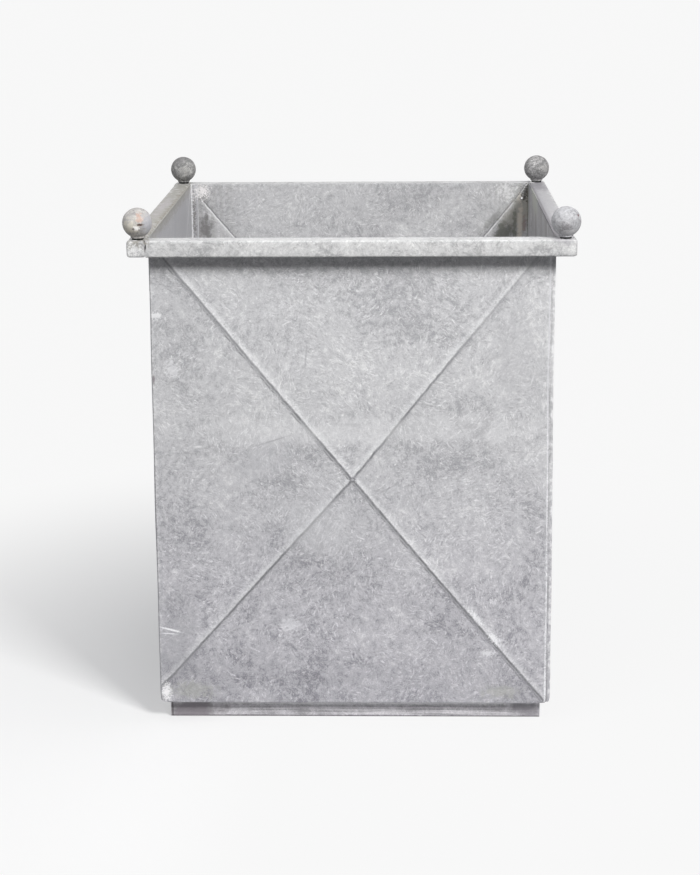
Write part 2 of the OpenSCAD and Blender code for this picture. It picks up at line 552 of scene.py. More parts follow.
    def crease_distance(self, plane: np.ndarray) -> np.ndarray:
        """Measures how far each point is from the nearest crease.

        Args:
            plane: The panel's points in its own plane.

        Returns:
            The distances, positive above the crease.
        """
        best = np.full(len(plane), 1.0)
        for corner in (self.top_left, self.top_right, self.bottom_right, self.crease_foot):
            along, length = self.arm(corner)
            across = np.array([-along[1], along[0]])
            if across[1] < 0:
                across = -across
            share = np.clip((plane - corner) @ along, 0.0, length)
            gap = plane - corner - share[:, None] * along
            far = np.linalg.norm(gap, axis=1) * np.where(gap @ across < 0.0, -1.0, 1.0)
            best = np.where(np.abs(far) < np.abs(best), far, best)
        return best

    def rise(self, plane: np.ndarray, distance: np.ndarray) -> np.ndarray:
        """How far each point of the panel stands out from the wall line.

        Args:
            plane: The panel's points in its own plane.
            distance: Their distances to the nearest crease.

        Returns:
            The rise of each point.
        """
        x, z = plane.T
        mx, mz = self.middle

        def foot(at: Any) -> Any:
            """The height of the line from the left crease's foot to the right bottom corner."""
            low, high = self.z0, self.crease_foot[1]
            return high + (low - high) * (at - self.x0) / (self.x1 - self.x0)

        lower = (z - foot(x)) / (mz - foot(mx))
        lower = (lower + np.sqrt(lower * lower + self.lower_ease**2)) / 2.0
        left, right = (x - self.x0) / (mx - self.x0), (self.x1 - x) / (self.x1 - mx)
        share = np.minimum.reduce([left, right, (self.z1 - z) / (self.z1 - mz), lower])
        border = self.border(plane)
        hold = smooth_step(border / self.edge_hold)
        far = np.abs(distance)
        reach = np.where(distance > 0.0, self.ridge_half, self.ridge_low_half)
        ridge = self.ridge_height * np.clip(1.0 - far / reach, 0.0, 1.0) ** self.ridge_power
        groove = self.groove_depth * np.clip(1.0 - (far / self.groove_half) ** 2, 0.0, 1.0)
        from_middle = self.from_middle(plane)
        knot = np.exp(-(((from_middle - self.knot_radius) / self.knot_width) ** 2))
        clear = 1.0 - np.exp(-((from_middle / self.knot_clear) ** 2))
        waves = np.zeros(len(x))
        rng = np.random.default_rng(17 + self.side.value)
        for _ in range(self.buckles):
            kx, kz = rng.normal(0.0, self.buckle_pace, 2)
            waves += np.sin(kx * x + kz * z + rng.uniform(0.0, FULL_TURN)) / 3.0
        wide = smooth_step(border / self.buckle_hold)
        crown = self.sizes.crown * share
        return crown + hold * (ridge - clear * groove) + self.knot_height * knot + self.buckle * wide * waves

    def folded(
        self, plane: Sequence[Pair], out: np.ndarray
    ) -> tuple[np.ndarray, list[float], list[float]]:
        """Adds the corner return and the bottom return to the panel.

        Args:
            plane: The panel's points in its own plane.
            out: How far each stands out.

        Returns:
            All points in space, 1 for each point on a return's flat part, and for each point of a return how
            pale it is made by abrasion and, in the corner bend, by painted highlight.
        """
        face = -self.sizes.wall_half
        space = [(x, face - o, z) for (x, z), o in zip(plane, out)]
        fold = [0.0] * len(space)
        wear_and_light: list[float] = []
        angles = [math.pi / 2 * (k + 1) / self.bend_steps for k in range(self.bend_steps)]
        round_bend = [(self.bend * math.sin(a), self.bend * (1 - math.cos(a))) for a in angles]

        def edge(axis: int, place: float) -> list[int]:
            """The panel's points on one of its edges, in order."""
            found = (i for i, p in enumerate(plane) if abs(p[axis] - place) < 1e-6)
            return sorted(found, key=lambda i: plane[i][1 - axis])

        def fold_back(
            line: list[int],
            width: float,
            steps: int,
            seat: Callable[[int, float, float], Triple],
            worn_and_lit: Pair,
            flip: bool,
        ) -> None:
            """Carries an edge round its bend and along the return's flat part.

            Args:
                line: The edge's points.
                width: The return's width.
                steps: How many strips the flat part has.
                seat: Places a point, from its number and how far it is across and deep.
                worn_and_lit: The paleness from abrasion in the bend and on the flat part, with painted
                    highlight in the bend.
                flip: Whether the faces run the other way.
            """
            border = line
            flats = np.linspace(self.bend, width, steps + 1)[1:]
            for across, depth in round_bend + [(self.bend, float(d)) for d in flats]:
                flat = depth > self.bend
                after = list(range(len(space), len(space) + len(border)))
                space.extend(seat(number, across, depth) for number in border)
                fold.extend([float(flat)] * len(border))
                wear_and_light.extend([worn_and_lit[flat]] * len(border))
                for k in range(len(border) - 1):
                    a, b = (k + 1, k) if flip else (k, k + 1)
                    self.faces.append((line[a], line[b], after[b], after[a]))
                line = after

        def left_seat(number: int, across: float, depth: float) -> Triple:
            """A point of the corner return."""
            return (self.x0 - across, face + depth, plane[number][1])

        def foot_seat(number: int, drop: float, depth: float) -> Triple:
            """A point of the bottom return, between its mitres."""
            low = max(self.x0, face + depth + self.mitre_gap)
            high = min(self.x1, -face - depth - self.mitre_gap)
            share = (plane[number][0] - self.x0) / (self.x1 - self.x0)
            return (low + share * (high - low), face + depth, self.z0 - drop)

        # The corner bend's high value paints a highlight over the bend's shade, on top of its abrasion.
        fold_back(edge(0, self.x0), self.corner_return, 3, left_seat, (1.6, 0.35), False)
        fold_back(edge(1, self.z0), self.sizes.bottom_return, 5, foot_seat, (0.3, 0.3), True)
        return np.array(space), fold, wear_and_light

    def build(self, material: Material) -> Piece:
        """Builds and dresses the wall.

        Args:
            material: The wall's finish.

        Returns:
            The wall.
        """
        self.facet([self.top_left, self.top_right])
        self.facet([self.top_right, self.bottom_right])
        self.facet([self.bottom_right, self.bottom_left, self.crease_foot])
        self.facet([self.crease_foot, self.top_left])
        plane = np.array(self.points)
        distance = self.crease_distance(plane)
        border = self.border(plane, self.wear_below)
        out = self.rise(plane, distance)
        from_middle = self.from_middle(plane)
        plane = self.drift(plane)
        space, fold, wear_and_light = self.folded([tuple(p) for p in plane], out)
        extra = len(space) - len(plane)
        first = self.faces[0]
        a, b, c = (space[first[k]] for k in range(3))
        if np.cross(b - a, c - a)[1] > 0:
            self.faces = [face[::-1] for face in self.faces]
        points, faces, inner = thicken(space, self.faces, self.sizes.sheet)
        points = self.hand.settle(self.side.turn(points))
        creases = np.concatenate([distance, np.ones(extra)])
        edges = np.concatenate([np.exp(-border / self.wear_reach), wear_and_light])
        values = {
            "crease": np.tile(creases, 2),
            "edge": np.tile(edges, 2),
            "inner": inner,
            "fold": np.tile(np.array(fold), 2),
            "knot": np.tile(np.concatenate([from_middle, np.ones(extra)]), 2),
        }
        name = f"{self.side.word}_wall"
        piece = mesh_piece(f"{name}_sheet", points, faces, values, sharp_degrees=50.0)
        if self.vent:
            self.drill(piece)
        return dress(piece, material, "wall_zinc", name)

    def drill(self, piece: Piece) -> None:
        """Cuts the small vent hole through the sheet."""
        across, up = self.vent
        face = -self.sizes.wall_half - self.sizes.crown
        at = self.side.turn(np.array([[across, face, up]]))[0]
        quarter = math.pi / 2.0
        turn = Matrix.Rotation(self.side.value * quarter, 4, "Z") @ Matrix.Rotation(quarter, 4, "X")
        bit = bmesh.new()
        bmesh.ops.create_cone(
            bit, cap_ends=True, segments=24, radius1=self.vent_radius, radius2=self.vent_radius,
            depth=self.vent_cut, matrix=Matrix.Translation(Vector(at)) @ turn,
        )
        mesh = bpy.data.meshes.new("vent_bit")
        bit.to_mesh(mesh)
        bit.free()
        holder = linked("vent_bit", mesh)
        cut = piece.modifiers.new("vent", "BOOLEAN")
        cut.operation, cut.solver, cut.object = "DIFFERENCE", "EXACT", holder
        drilled = evaluated_mesh(piece)
        piece.modifiers.clear()
        piece.data = drilled
        drilled.name = piece.name
        bpy.data.objects.remove(holder)


@dataclass
class Graph:
    """A short way to add and link the nodes of one tree."""

    tree: Tree

    def node(
        self, kind: str, inputs: dict[str | int, Any] | None = None, **settings: Any
    ) -> bpy.types.Node:
        """Adds a node.

        Args:
            kind: The node's type.
            inputs: A value or a socket for each named or numbered input.
            settings: The node's own properties.

        Returns:
            The node.
        """
        made = self.tree.nodes.new(kind)
        for key, setting in settings.items():
            setattr(made, key, setting)
        for key, value in (inputs or {}).items():
            self.feed(made.inputs[key], value)
        return made

    def feed(self, socket: Socket, value: Any) -> None:
        """Links a socket to an input, or sets the input's own value."""
        if isinstance(value, Socket):
            self.tree.links.new(value, socket)
        else:
            socket.default_value = value

    def out(self, kind: str, inputs: dict[str | int, Any] | None = None, **settings: Any) -> Socket:
        """Adds a node and returns its first output."""
        return self.node(kind, inputs, **settings).outputs[0]

    def math(self, operation: str, a: Any, b: Any = 0.0) -> Socket:
        """Adds one sum and returns its result."""
        return self.out("ShaderNodeMath", {0: a, 1: b}, operation=operation)

    def times(self, a: Any, b: Any) -> Socket:
        """The product of two values."""
        return self.math("MULTIPLY", a, b)

    def plus(self, a: Any, b: Any) -> Socket:
        """The sum of two values."""
        return self.math("ADD", a, b)

    def minus(self, a: Any, b: Any) -> Socket:
        """The first value less the second."""
        return self.math("SUBTRACT", a, b)

    def rest(self, share: Any) -> Socket:
        """What a share leaves of one."""
        return self.minus(1.0, share)

    def larger(self, a: Any, b: Any) -> Socket:
        """The larger of two values."""
        return self.math("MAXIMUM", a, b)

    def axes(self, vector: Any) -> Sequence[Socket]:
        """The x, y and z of a vector."""
        return tuple(self.node("ShaderNodeSeparateXYZ", {0: vector}).outputs)

    def joined(self, x: Any = 0.0, y: Any = 0.0, z: Any = 0.0) -> Socket:
        """A vector of three values."""
        return self.out("ShaderNodeCombineXYZ", {0: x, 1: y, 2: z})

    def group(self, tree: Tree, inputs: dict[str, Any]) -> Sequence[Socket]:
        """Places a shared shader group and returns its outputs."""
        return tuple(self.node("ShaderNodeGroup", inputs, node_tree=tree).outputs)

    def named(self, attribute: str) -> Socket:
        """A mesh attribute, by its name."""
        return self.node("ShaderNodeAttribute", attribute_name=attribute).outputs["Fac"]

    def vector(self, operation: str, a: Any, b: Any = (0.0, 0.0, 0.0)) -> Socket:
        """Adds one vector sum and returns its vector."""
        return self.out("ShaderNodeVectorMath", {0: a, 1: b}, operation=operation)

    def scaled(self, vector: Any, factor: Any) -> Socket:
        """A vector times a number."""
        return self.out("ShaderNodeVectorMath", {0: vector, "Scale": factor}, operation="SCALE")

    def length(self, vector: Any) -> Socket:
        """How long a vector is."""
        return self.node("ShaderNodeVectorMath", {0: vector}, operation="LENGTH").outputs["Value"]

    def mix(self, factor: Any, a: Any, b: Any, blend: str = "MIX") -> Socket:
        """Mixes two colours."""
        made = self.node("ShaderNodeMix", data_type="RGBA", blend_type=blend)
        for number, value in ((0, factor), (6, a), (7, b)):
            self.feed(made.inputs[number], value)
        return made.outputs[2]

    def span(self, value: Any, low: float, high: float, to_low: float = 0.0, to_high: float = 1.0) -> Socket:
        """Maps a value smoothly from one span to another, held at both ends."""
        ends = {0: value, 1: low, 2: high, 3: to_low, 4: to_high}
        return self.out("ShaderNodeMapRange", ends, interpolation_type="SMOOTHSTEP")

    def noise(
        self, vector: Any, scale: Any, detail: float = 2.0, roughness: float = 0.5, distortion: float = 0.0
    ) -> bpy.types.Node:
        """Adds a noise texture."""
        inputs = {"Vector": vector, "Scale": scale, "Detail": detail, "Roughness": roughness}
        return self.node("ShaderNodeTexNoise", inputs | {"Distortion": distortion})

    def grown_mesh(self, geometry: Any, material: Any, result: bpy.types.Node) -> Tree:
        """Ends a Geometry Nodes tree: makes its copies real and sets their material.

        Args:
            geometry: What the tree has made.
            material: Its material.
            result: The tree's output node.

        Returns:
            The tree.
        """
        real = self.out("GeometryNodeRealizeInstances", {"Geometry": geometry})
        painted = self.out("GeometryNodeSetMaterial", {"Geometry": real, "Material": material})
        self.feed(result.inputs["Geometry"], painted)
        return self.tree

    def show(self, shader: Socket, kind: str = "ShaderNodeOutputMaterial") -> None:
        """Ends the tree of a material or the world with its shader."""
        self.node(kind, {"Surface": shader})

    def surface(
        self, colour: Any, metallic: float, roughness: Any, height: Any, bump: float, distance: float
    ) -> None:
        """Ends a material with a metal or rubber surface.

        Args:
            colour: Its base colour.
            metallic: How far it is bare metal.
            roughness: Its roughness.
            height: The height of its grain.
            bump: How strongly the grain shows.
            distance: How deep the grain is, in metres.
        """
        grain = self.out("ShaderNodeBump", {"Strength": bump, "Distance": distance, "Height": height})
        inputs = {"Base Color": colour, "Metallic": metallic, "Roughness": roughness, "Normal": grain}
        self.show(self.out("ShaderNodeBsdfPrincipled", inputs))


NewTree = tuple[Graph, dict[str, Socket], bpy.types.Node]


def cleared(owner: Material | bpy.types.World) -> Graph:
    """Empties the node tree of a material or the world.

    Args:
        owner: The material or the world.

    Returns:
        The graph of its empty tree.
    """
    owner.use_nodes = True
    owner.node_tree.nodes.clear()
    return Graph(owner.node_tree)


class SocketKind(Enum):
    """The kinds of socket that the trees here use."""

    FLOAT = "NodeSocketFloat"
    INTEGER = "NodeSocketInt"
    VECTOR = "NodeSocketVector"
    GEOMETRY = "NodeSocketGeometry"
    MATERIAL = "NodeSocketMaterial"

    @classmethod
    def of(cls, value: Any) -> SocketKind:
        """The kind that fits an input's first value, or the kind itself."""
        fitting = {float: cls.FLOAT, int: cls.INTEGER, tuple: cls.VECTOR}
        return value if isinstance(value, cls) else fitting[type(value)]


def new_tree(
    name: str, kind: str, inputs: dict[str, Any], outputs: Sequence[str], made: SocketKind = SocketKind.FLOAT
) -> NewTree:
    """Makes a node tree with named sockets.

    Args:
        name: The tree's name.
        kind: The tree's type.
        inputs: The first value of each input, or its kind where it has none.
        outputs: The outputs' names.
        made: The outputs' kind.

    Returns:
        The graph, its inputs by name and its output node.
    """
    tree = bpy.data.node_groups.new(name, kind)
    for key, value in inputs.items():
        socket_type = SocketKind.of(value).value
        socket = tree.interface.new_socket(name=key, in_out="INPUT", socket_type=socket_type)
        if not isinstance(value, SocketKind):
            socket.default_value = value
    for key in outputs:
        tree.interface.new_socket(name=key, in_out="OUTPUT", socket_type=made.value)
    graph = Graph(tree)
    given = {socket.name: socket for socket in graph.node("NodeGroupInput").outputs}
    return graph, given, graph.node("NodeGroupOutput")


def geometry_tree(name: str, inputs: dict[str, Any]) -> NewTree:
    """Makes a Geometry Nodes tree that puts out one geometry in a given material."""
    inputs = inputs | {"Material": SocketKind.MATERIAL}
    return new_tree(name, "GeometryNodeTree", inputs, ["Geometry"], SocketKind.GEOMETRY)


def grown(name: str, tree: Tree, values: dict[str, Any]) -> Piece:
    """Runs a Geometry Nodes tree and keeps its result as a plain mesh.

    Args:
        name: The piece's name.
        tree: The tree.
        values: The value of each named input.

    Returns:
        The linked object.
    """
    holder = linked(f"{name}_tree", bpy.data.meshes.new(f"{name}_tree"))
    modifier = holder.modifiers.new("grow", "NODES")
    modifier.node_group = tree
    for item in tree.interface.items_tree:
        if getattr(item, "in_out", "") == "INPUT" and item.name in values:
            modifier[item.identifier] = values[item.name]
    mesh = evaluated_mesh(holder)
    mesh.name = name
    bpy.data.objects.remove(holder)
    return linked(name, mesh)


def place(
    piece: Piece, points: Callable[[np.ndarray], np.ndarray], sharp_degrees: float = 40.0
) -> Piece:
    """Moves a grown piece's points to their place in the frame.

    Args:
        piece: The piece.
        points: Turns the tree's points into the frame's.
        sharp_degrees: Edges that turn more than this stay sharp.

    Returns:
        The piece.
    """
    mesh = piece.data
    count = len(mesh.vertices)
    flat = np.zeros(count * 3, np.float32)
    mesh.vertices.foreach_get("co", flat)
    moved = points(flat.reshape(-1, 3).astype(float))
    mesh.vertices.foreach_set("co", moved.astype(np.float32).ravel())
    shade(mesh, sharp_degrees)
    return piece


def tube_tree() -> Tree:
    """A square tube with round edges: a flat strip carried round the tube's outline.

    Returns:
        The tree, whose tube stands on the origin along Z.
    """
    inputs = {"Length": 0.5, "Width": 0.026, "Height": 0.023, "Wall": 0.002, "Round": 0.0025}
    inputs |= {"Stations": 200, "Wander": 0.0002, "Seed": 0.0}
    graph, given, result = geometry_tree("square_tube", inputs)
    wall = given["Wall"]
    outline = graph.out(
        "GeometryNodeCurvePrimitiveQuadrilateral",
        {"Width": graph.minus(given["Width"], wall), "Height": graph.minus(given["Height"], wall)},
    )
    rounded = graph.node(
        "GeometryNodeFilletCurve",
        {"Curve": outline, "Radius": graph.minus(given["Round"], graph.times(wall, 0.5))},
        mode="POLY",
    )
    rounded.inputs["Count"].default_value = 5
    strip = graph.out("GeometryNodeCurvePrimitiveQuadrilateral", {"Width": wall, "Height": given["Length"]})
    stations = graph.out("GeometryNodeSubdivideCurve", {"Curve": strip, "Cuts": given["Stations"]})
    swept = graph.out("GeometryNodeCurveToMesh", {"Curve": rounded.outputs[0], "Profile Curve": stations})
    seeded = graph.vector("ADD", graph.out("GeometryNodeInputPosition"), graph.joined(x=given["Seed"]))
    slow = graph.noise(seeded, 9.0, detail=1.0)
    fine = graph.noise(seeded, 70.0, detail=1.0)
    both = graph.vector("ADD", slow.outputs["Color"], graph.scaled(fine.outputs["Color"], 0.35))
    centred = graph.vector("SUBTRACT", both, (0.675, 0.675, 0.675))
    flat = graph.vector("MULTIPLY", graph.scaled(centred, given["Wander"]), (1.0, 1.0, 0.0))
    moved = graph.out("GeometryNodeSetPosition", {"Geometry": swept, "Offset": flat})
    return graph.grown_mesh(moved, given["Material"], result)


def fillet_tree() -> Tree:
    """A run of solder: a three-cornered fillet whose width wanders along its length.

    Returns:
        The tree, whose fillet stands on the origin along Z.
    """
    inputs = {"Length": 0.6, "Size": 0.002, "Stations": 400, "Ripple": 0.35, "Seed": 0.0}
    graph, given, result = geometry_tree("solder_fillet", inputs)
    ends = {"Start": (0.0, 0.0, 0.0), "End": graph.joined(z=given["Length"])}
    line = graph.out("GeometryNodeCurvePrimitiveLine", ends)
    fine = graph.out("GeometryNodeResampleCurve", {"Curve": line, "Count": given["Stations"]})
    seeded = graph.vector("ADD", graph.out("GeometryNodeInputPosition"), graph.joined(x=given["Seed"]))
    slow = graph.noise(seeded, 25.0, detail=1.0)
    quick = graph.noise(seeded, 300.0, detail=1.0)
    sway = graph.plus(slow.outputs[0], graph.times(quick.outputs[0], 0.6))
    sway = graph.times(graph.minus(sway, 0.8), given["Ripple"])
    radius = graph.times(given["Size"], graph.plus(1.0, sway))
    section = graph.out("GeometryNodeCurvePrimitiveCircle", {"Resolution": 8, "Radius": 1.0})
    swept = graph.out(
        "GeometryNodeCurveToMesh",
        {"Curve": fine, "Profile Curve": section, "Scale": radius, "Fill Caps": True},
    )
    return graph.grown_mesh(swept, given["Material"], result)


def thread_tree() -> Tree:
    """Threaded studs: a core and a ridge wound round it, set on the four finial axes.

    Returns:
        The tree.
    """
    inputs = {"Radius": 0.004, "Length": 0.02, "Pitch": 0.00125, "Depth": 0.0007}
    graph, given, result = geometry_tree("threaded_studs", inputs | {"Foot": 0.0, "Spread": 0.58})

    def lifted(geometry: Socket, height: Any) -> Socket:
        """Moves a geometry up."""
        up = {"Geometry": geometry, "Translation": graph.joined(z=height)}
        return graph.out("GeometryNodeTransform", up)

    length, spread = given["Length"], given["Spread"]
    core = graph.minus(given["Radius"], given["Depth"])
    cylinder = graph.out("GeometryNodeMeshCylinder", {"Vertices": 32, "Radius": core, "Depth": length})
    inset = graph.times(given["Pitch"], 1.5)
    wound = graph.minus(length, graph.times(inset, 1.4))
    turns = {"Resolution": 28, "Rotations": graph.math("DIVIDE", wound, given["Pitch"]), "Height": wound}
    helix = graph.out("GeometryNodeCurveSpiral", turns | {"Start Radius": core, "End Radius": core})
    seated = lifted(helix, graph.times(inset, 0.7))
    ridge = graph.out("GeometryNodeCurvePrimitiveCircle", {"Resolution": 4, "Radius": given["Depth"]})
    wire = graph.out("GeometryNodeCurveToMesh", {"Curve": seated, "Profile Curve": ridge, "Fill Caps": True})
    stud = graph.node("GeometryNodeJoinGeometry")
    for part in (lifted(cylinder, graph.times(length, 0.5)), wire):
        graph.tree.links.new(part, stud.inputs[0])
    corners = {"Size X": spread, "Size Y": spread, "Vertices X": 2, "Vertices Y": 2}
    seats = lifted(graph.out("GeometryNodeMeshGrid", corners), given["Foot"])
    copies = graph.out("GeometryNodeInstanceOnPoints", {"Points": seats, "Instance": stud.outputs[0]})
    return graph.grown_mesh(copies, given["Material"], result)


def shader_group(
    name: str, inputs: dict[str, Any], *outputs: str
) -> NewTree:
    """Makes a shader group that reads a place and puts out masks."""
    return new_tree(name, "ShaderNodeTree", {"Vector": SocketKind.VECTOR} | inputs, outputs)


def strokes_group() -> Tree:
    """Short bent wipes of patina whose direction changes from patch to patch.

    Returns:
        The group, which puts out Pale, Dark, Swirl and Fine, all 0 to 1.
    """
    inputs = {"Patch": 30.0, "Width": 430.0, "Length": 55.0, "Bend": 16.0}
    graph, given, result = shader_group("brushed_patina", inputs, "Pale", "Dark", "Swirl", "Fine")
    whole, width = given["Vector"], given["Width"]
    pale: Any = 0.0
    dark: Any = 0.0
    for shift, share in (((0.0, 0.0, 0.0), 0.55), ((0.37, 0.11, 0.71), 1.0), ((0.83, 0.59, 0.23), 1.8)):
        moved = graph.vector("ADD", whole, shift)
        torn = graph.vector("SUBTRACT", graph.noise(moved, 50.0).outputs["Color"], (0.5, 0.5, 0.5))
        ragged = graph.vector("ADD", moved, graph.scaled(torn, 0.035))
        scale = graph.times(given["Patch"], share)
        cells = graph.node("ShaderNodeTexVoronoi", {"Vector": ragged, "Scale": scale})
        dice = graph.node("ShaderNodeSeparateColor", {0: cells.outputs["Color"]})
        direction, curl, chance = dice.outputs
        swayed = graph.vector("ADD", moved, graph.scaled(torn, 0.008))
        local = graph.vector("SUBTRACT", swayed, cells.outputs["Position"])
        heading = {"Vector": local, "Angle": graph.times(direction, FULL_TURN)}
        x, y, z = graph.axes(graph.out("ShaderNodeVectorRotate", heading, rotation_type="Y_AXIS"))
        bow = graph.times(graph.minus(curl, 0.5), given["Bend"])
        bow = graph.times(bow, graph.times(z, z))
        across = graph.times(graph.plus(x, bow), width)
        drawn = graph.joined(across, graph.times(y, width), graph.times(z, given["Length"]))
        drawn = graph.vector("ADD", drawn, graph.scaled(cells.outputs["Color"], 50.0))
        hair = graph.noise(drawn, 1.0, detail=3.0, roughness=0.68).outputs[0]
        amount = graph.span(chance, 0.05, 0.95, 0.15, 1.0)
        pale = graph.larger(pale, graph.times(graph.span(hair, 0.53, 0.74), amount))
        dark = graph.larger(dark, graph.times(graph.span(hair, 0.46, 0.28), amount))
    flow = graph.noise(whole, 8.0).outputs[0]
    stretched = graph.vector("ADD", graph.joined(x=graph.times(flow, 85.0)), graph.scaled(whole, 24.0))
    swirl = graph.noise(stretched, 1.0, detail=3.0, roughness=0.6).outputs[0]
    graph.feed(result.inputs["Pale"], pale)
    graph.feed(result.inputs["Dark"], dark)
    graph.feed(result.inputs["Swirl"], graph.span(swirl, 0.3, 0.7))
    graph.feed(result.inputs["Fine"], graph.noise(whole, 520.0, roughness=0.7).outputs[0])
    return graph.tree


def cloud_group() -> Tree:
    """Soft clouds and blotches of oxide at two scales.

    Returns:
        The group, which puts out Cloud and Blotch, both 0 to 1.
    """
    graph, given, result = shader_group("oxide_clouds", {"Scale": 7.0, "Small": 96.0}, "Cloud", "Blotch")
    whole = given["Vector"]
    cloud = graph.noise(whole, given["Scale"], detail=6.0, roughness=0.62, distortion=0.6)
    blotch = graph.noise(whole, given["Small"], detail=5.0, roughness=0.75, distortion=0.4)
    graph.feed(result.inputs["Cloud"], graph.span(cloud.outputs[0], 0.3, 0.7))
    graph.feed(result.inputs["Blotch"], graph.span(blotch.outputs[0], 0.36, 0.72))
    return graph.tree


def spot_group() -> Tree:
    """A ragged spot round one place, for a solder touch, a scratch or a stain.

    Returns:
        The group, which puts out Mask, 0 to 1.
    """
    inputs = {"Centre": SocketKind.VECTOR, "Reach": SocketKind.VECTOR, "Tilt": 0.0}
    inputs |= {"Ragged": 0.8, "Grain": 300.0}
    graph, given, result = shader_group("ragged_spot", inputs, "Mask")
    local = graph.vector("SUBTRACT", given["Vector"], given["Centre"])
    tilted = {"Vector": local, "Angle": given["Tilt"]}
    level = graph.out("ShaderNodeVectorRotate", tilted, rotation_type="Y_AXIS")
    away = graph.length(graph.vector("DIVIDE", level, given["Reach"]))
    rough = graph.noise(given["Vector"], given["Grain"], detail=3.0, roughness=0.65)
    torn = graph.times(graph.minus(rough.outputs[0], 0.5), given["Ragged"])
    graph.feed(result.inputs["Mask"], graph.span(graph.plus(away, graph.times(torn, 2.0)), 1.15, 0.35))
    return graph.tree


def runs_group() -> Tree:
    """Long streaks along one direction, as rain or a rolling mill leaves them.

    Returns:
        The group, which puts out Runs, 0 to 1.
    """
    graph, given, result = shader_group("long_streaks", {"Stretch": (150.0, 150.0, 4.0)}, "Runs")
    drawn = graph.vector("MULTIPLY", given["Vector"], given["Stretch"])
    streak = graph.noise(drawn, 1.0, detail=4.0, roughness=0.6)
    graph.feed(result.inputs["Runs"], graph.span(streak.outputs[0], 0.3, 0.7))
    return graph.tree


@dataclass(frozen=True)
class Mark:
    """A spot of another colour at one place of the planter."""

    centre: Triple
    reach: Triple
    colour: Colour
    strength: float = 0.8
    ragged: float = 0.8
    grain: float = 300.0
    tilt: float = 0.0
    inside: bool = False


@dataclass(frozen=True)
class ZincFinish:
    """Weathered zinc: wipes, clouds and blotches over a grey body, with marks."""

    name: str
    dark: Colour
    middle: Colour
    pale: Colour
    shade: Colour
    bloom: Colour
    side: Side = Side.FRONT
    wipes: float = 0.78
    dark_wipes: float = 0.66
    swirls: float = 0.2
    clouds: float = 0.4
    blotches: float = 0.5
    grain: float = 1.0
    cloud_scale: float = 8.0
    blotch_scale: float = 96.0
    patch: float = 36.0
    wipe_width: float = 380.0
    wipe_length: float = 90.0
    roughness: float = 0.6
    metallic: float = 0.0
    bump: float = 0.3
    shift: Triple = (0.0, 0.0, 0.0)
    streak: Triple = (150.0, 150.0, 4.0)
    streak_amount: float = 0.0
    marks: tuple[Mark, ...] = ()

    def build(self, groups: dict[str, Tree]) -> Material:
        """Makes the material.

        Args:
            groups: The shared groups by name.

        Returns:
            The material.
        """
        material = bpy.data.materials.new(self.name)
        graph = cleared(material)
        object_place = graph.node("ShaderNodeTexCoord").outputs["Object"]
        turn = (0.0, 0.0, -self.side.value * math.pi / 2.0)
        place_of = graph.out("ShaderNodeMapping", {"Vector": object_place, "Rotation": turn})
        moved = graph.vector("ADD", place_of, self.shift)
        widths = {"Width": self.wipe_width, "Length": self.wipe_length}
        scales = {"Scale": self.cloud_scale, "Small": self.blotch_scale}
        strokes = {"Vector": moved, "Patch": self.patch} | widths
        pale, dark, swirl, fine = graph.group(groups["strokes"], strokes)
        cloud, blotch = graph.group(groups["clouds"], {"Vector": moved} | scales)
        (runs,) = graph.group(groups["runs"], {"Vector": moved, "Stretch": self.streak})
        tone: Any = 0.5
        for source, amount in (
            (cloud, self.clouds),
            (blotch, self.blotches),
            (swirl, self.swirls),
            (fine, self.grain),
            (runs, self.streak_amount),
        ):
            if amount:
                tone = graph.plus(tone, graph.times(graph.minus(source, 0.5), amount))
        lower = graph.mix(graph.span(tone, 0.0, 0.5), self.dark, self.middle)
        colour = graph.mix(graph.span(tone, 0.5, 1.0), lower, self.pale)
        colour = graph.mix(graph.times(dark, self.dark_wipes), colour, self.shade)
        colour = graph.mix(graph.times(pale, self.wipes), colour, self.bloom)
        colour = self.follow_form(graph, colour, moved, blotch, runs)
        for mark in self.marks:
            shape = {"Centre": mark.centre, "Reach": mark.reach, "Tilt": mark.tilt}
            edge = {"Vector": object_place, "Ragged": mark.ragged, "Grain": mark.grain}
            (mask,) = graph.group(groups["spot"], shape | edge)
            amount = graph.times(mask, mark.strength)
            if mark.inside:
                amount = graph.times(amount, graph.named("inner"))
            colour = graph.mix(amount, colour, mark.colour)
        height = graph.plus(graph.minus(pale, graph.times(dark, 0.6)), graph.times(fine, 0.5))
        roughness = graph.span(tone, 0.0, 1.0, self.roughness - 0.12, self.roughness + 0.12)
        graph.surface(colour, self.metallic, roughness, height, self.bump, 0.0005)
        return material

    def follow_form(self, graph: Graph, colour: Any, place_of: Any, blotch: Socket, runs: Socket) -> Any:
        """Adds what follows a piece's own form; plain pieces have nothing to add."""
        return colour


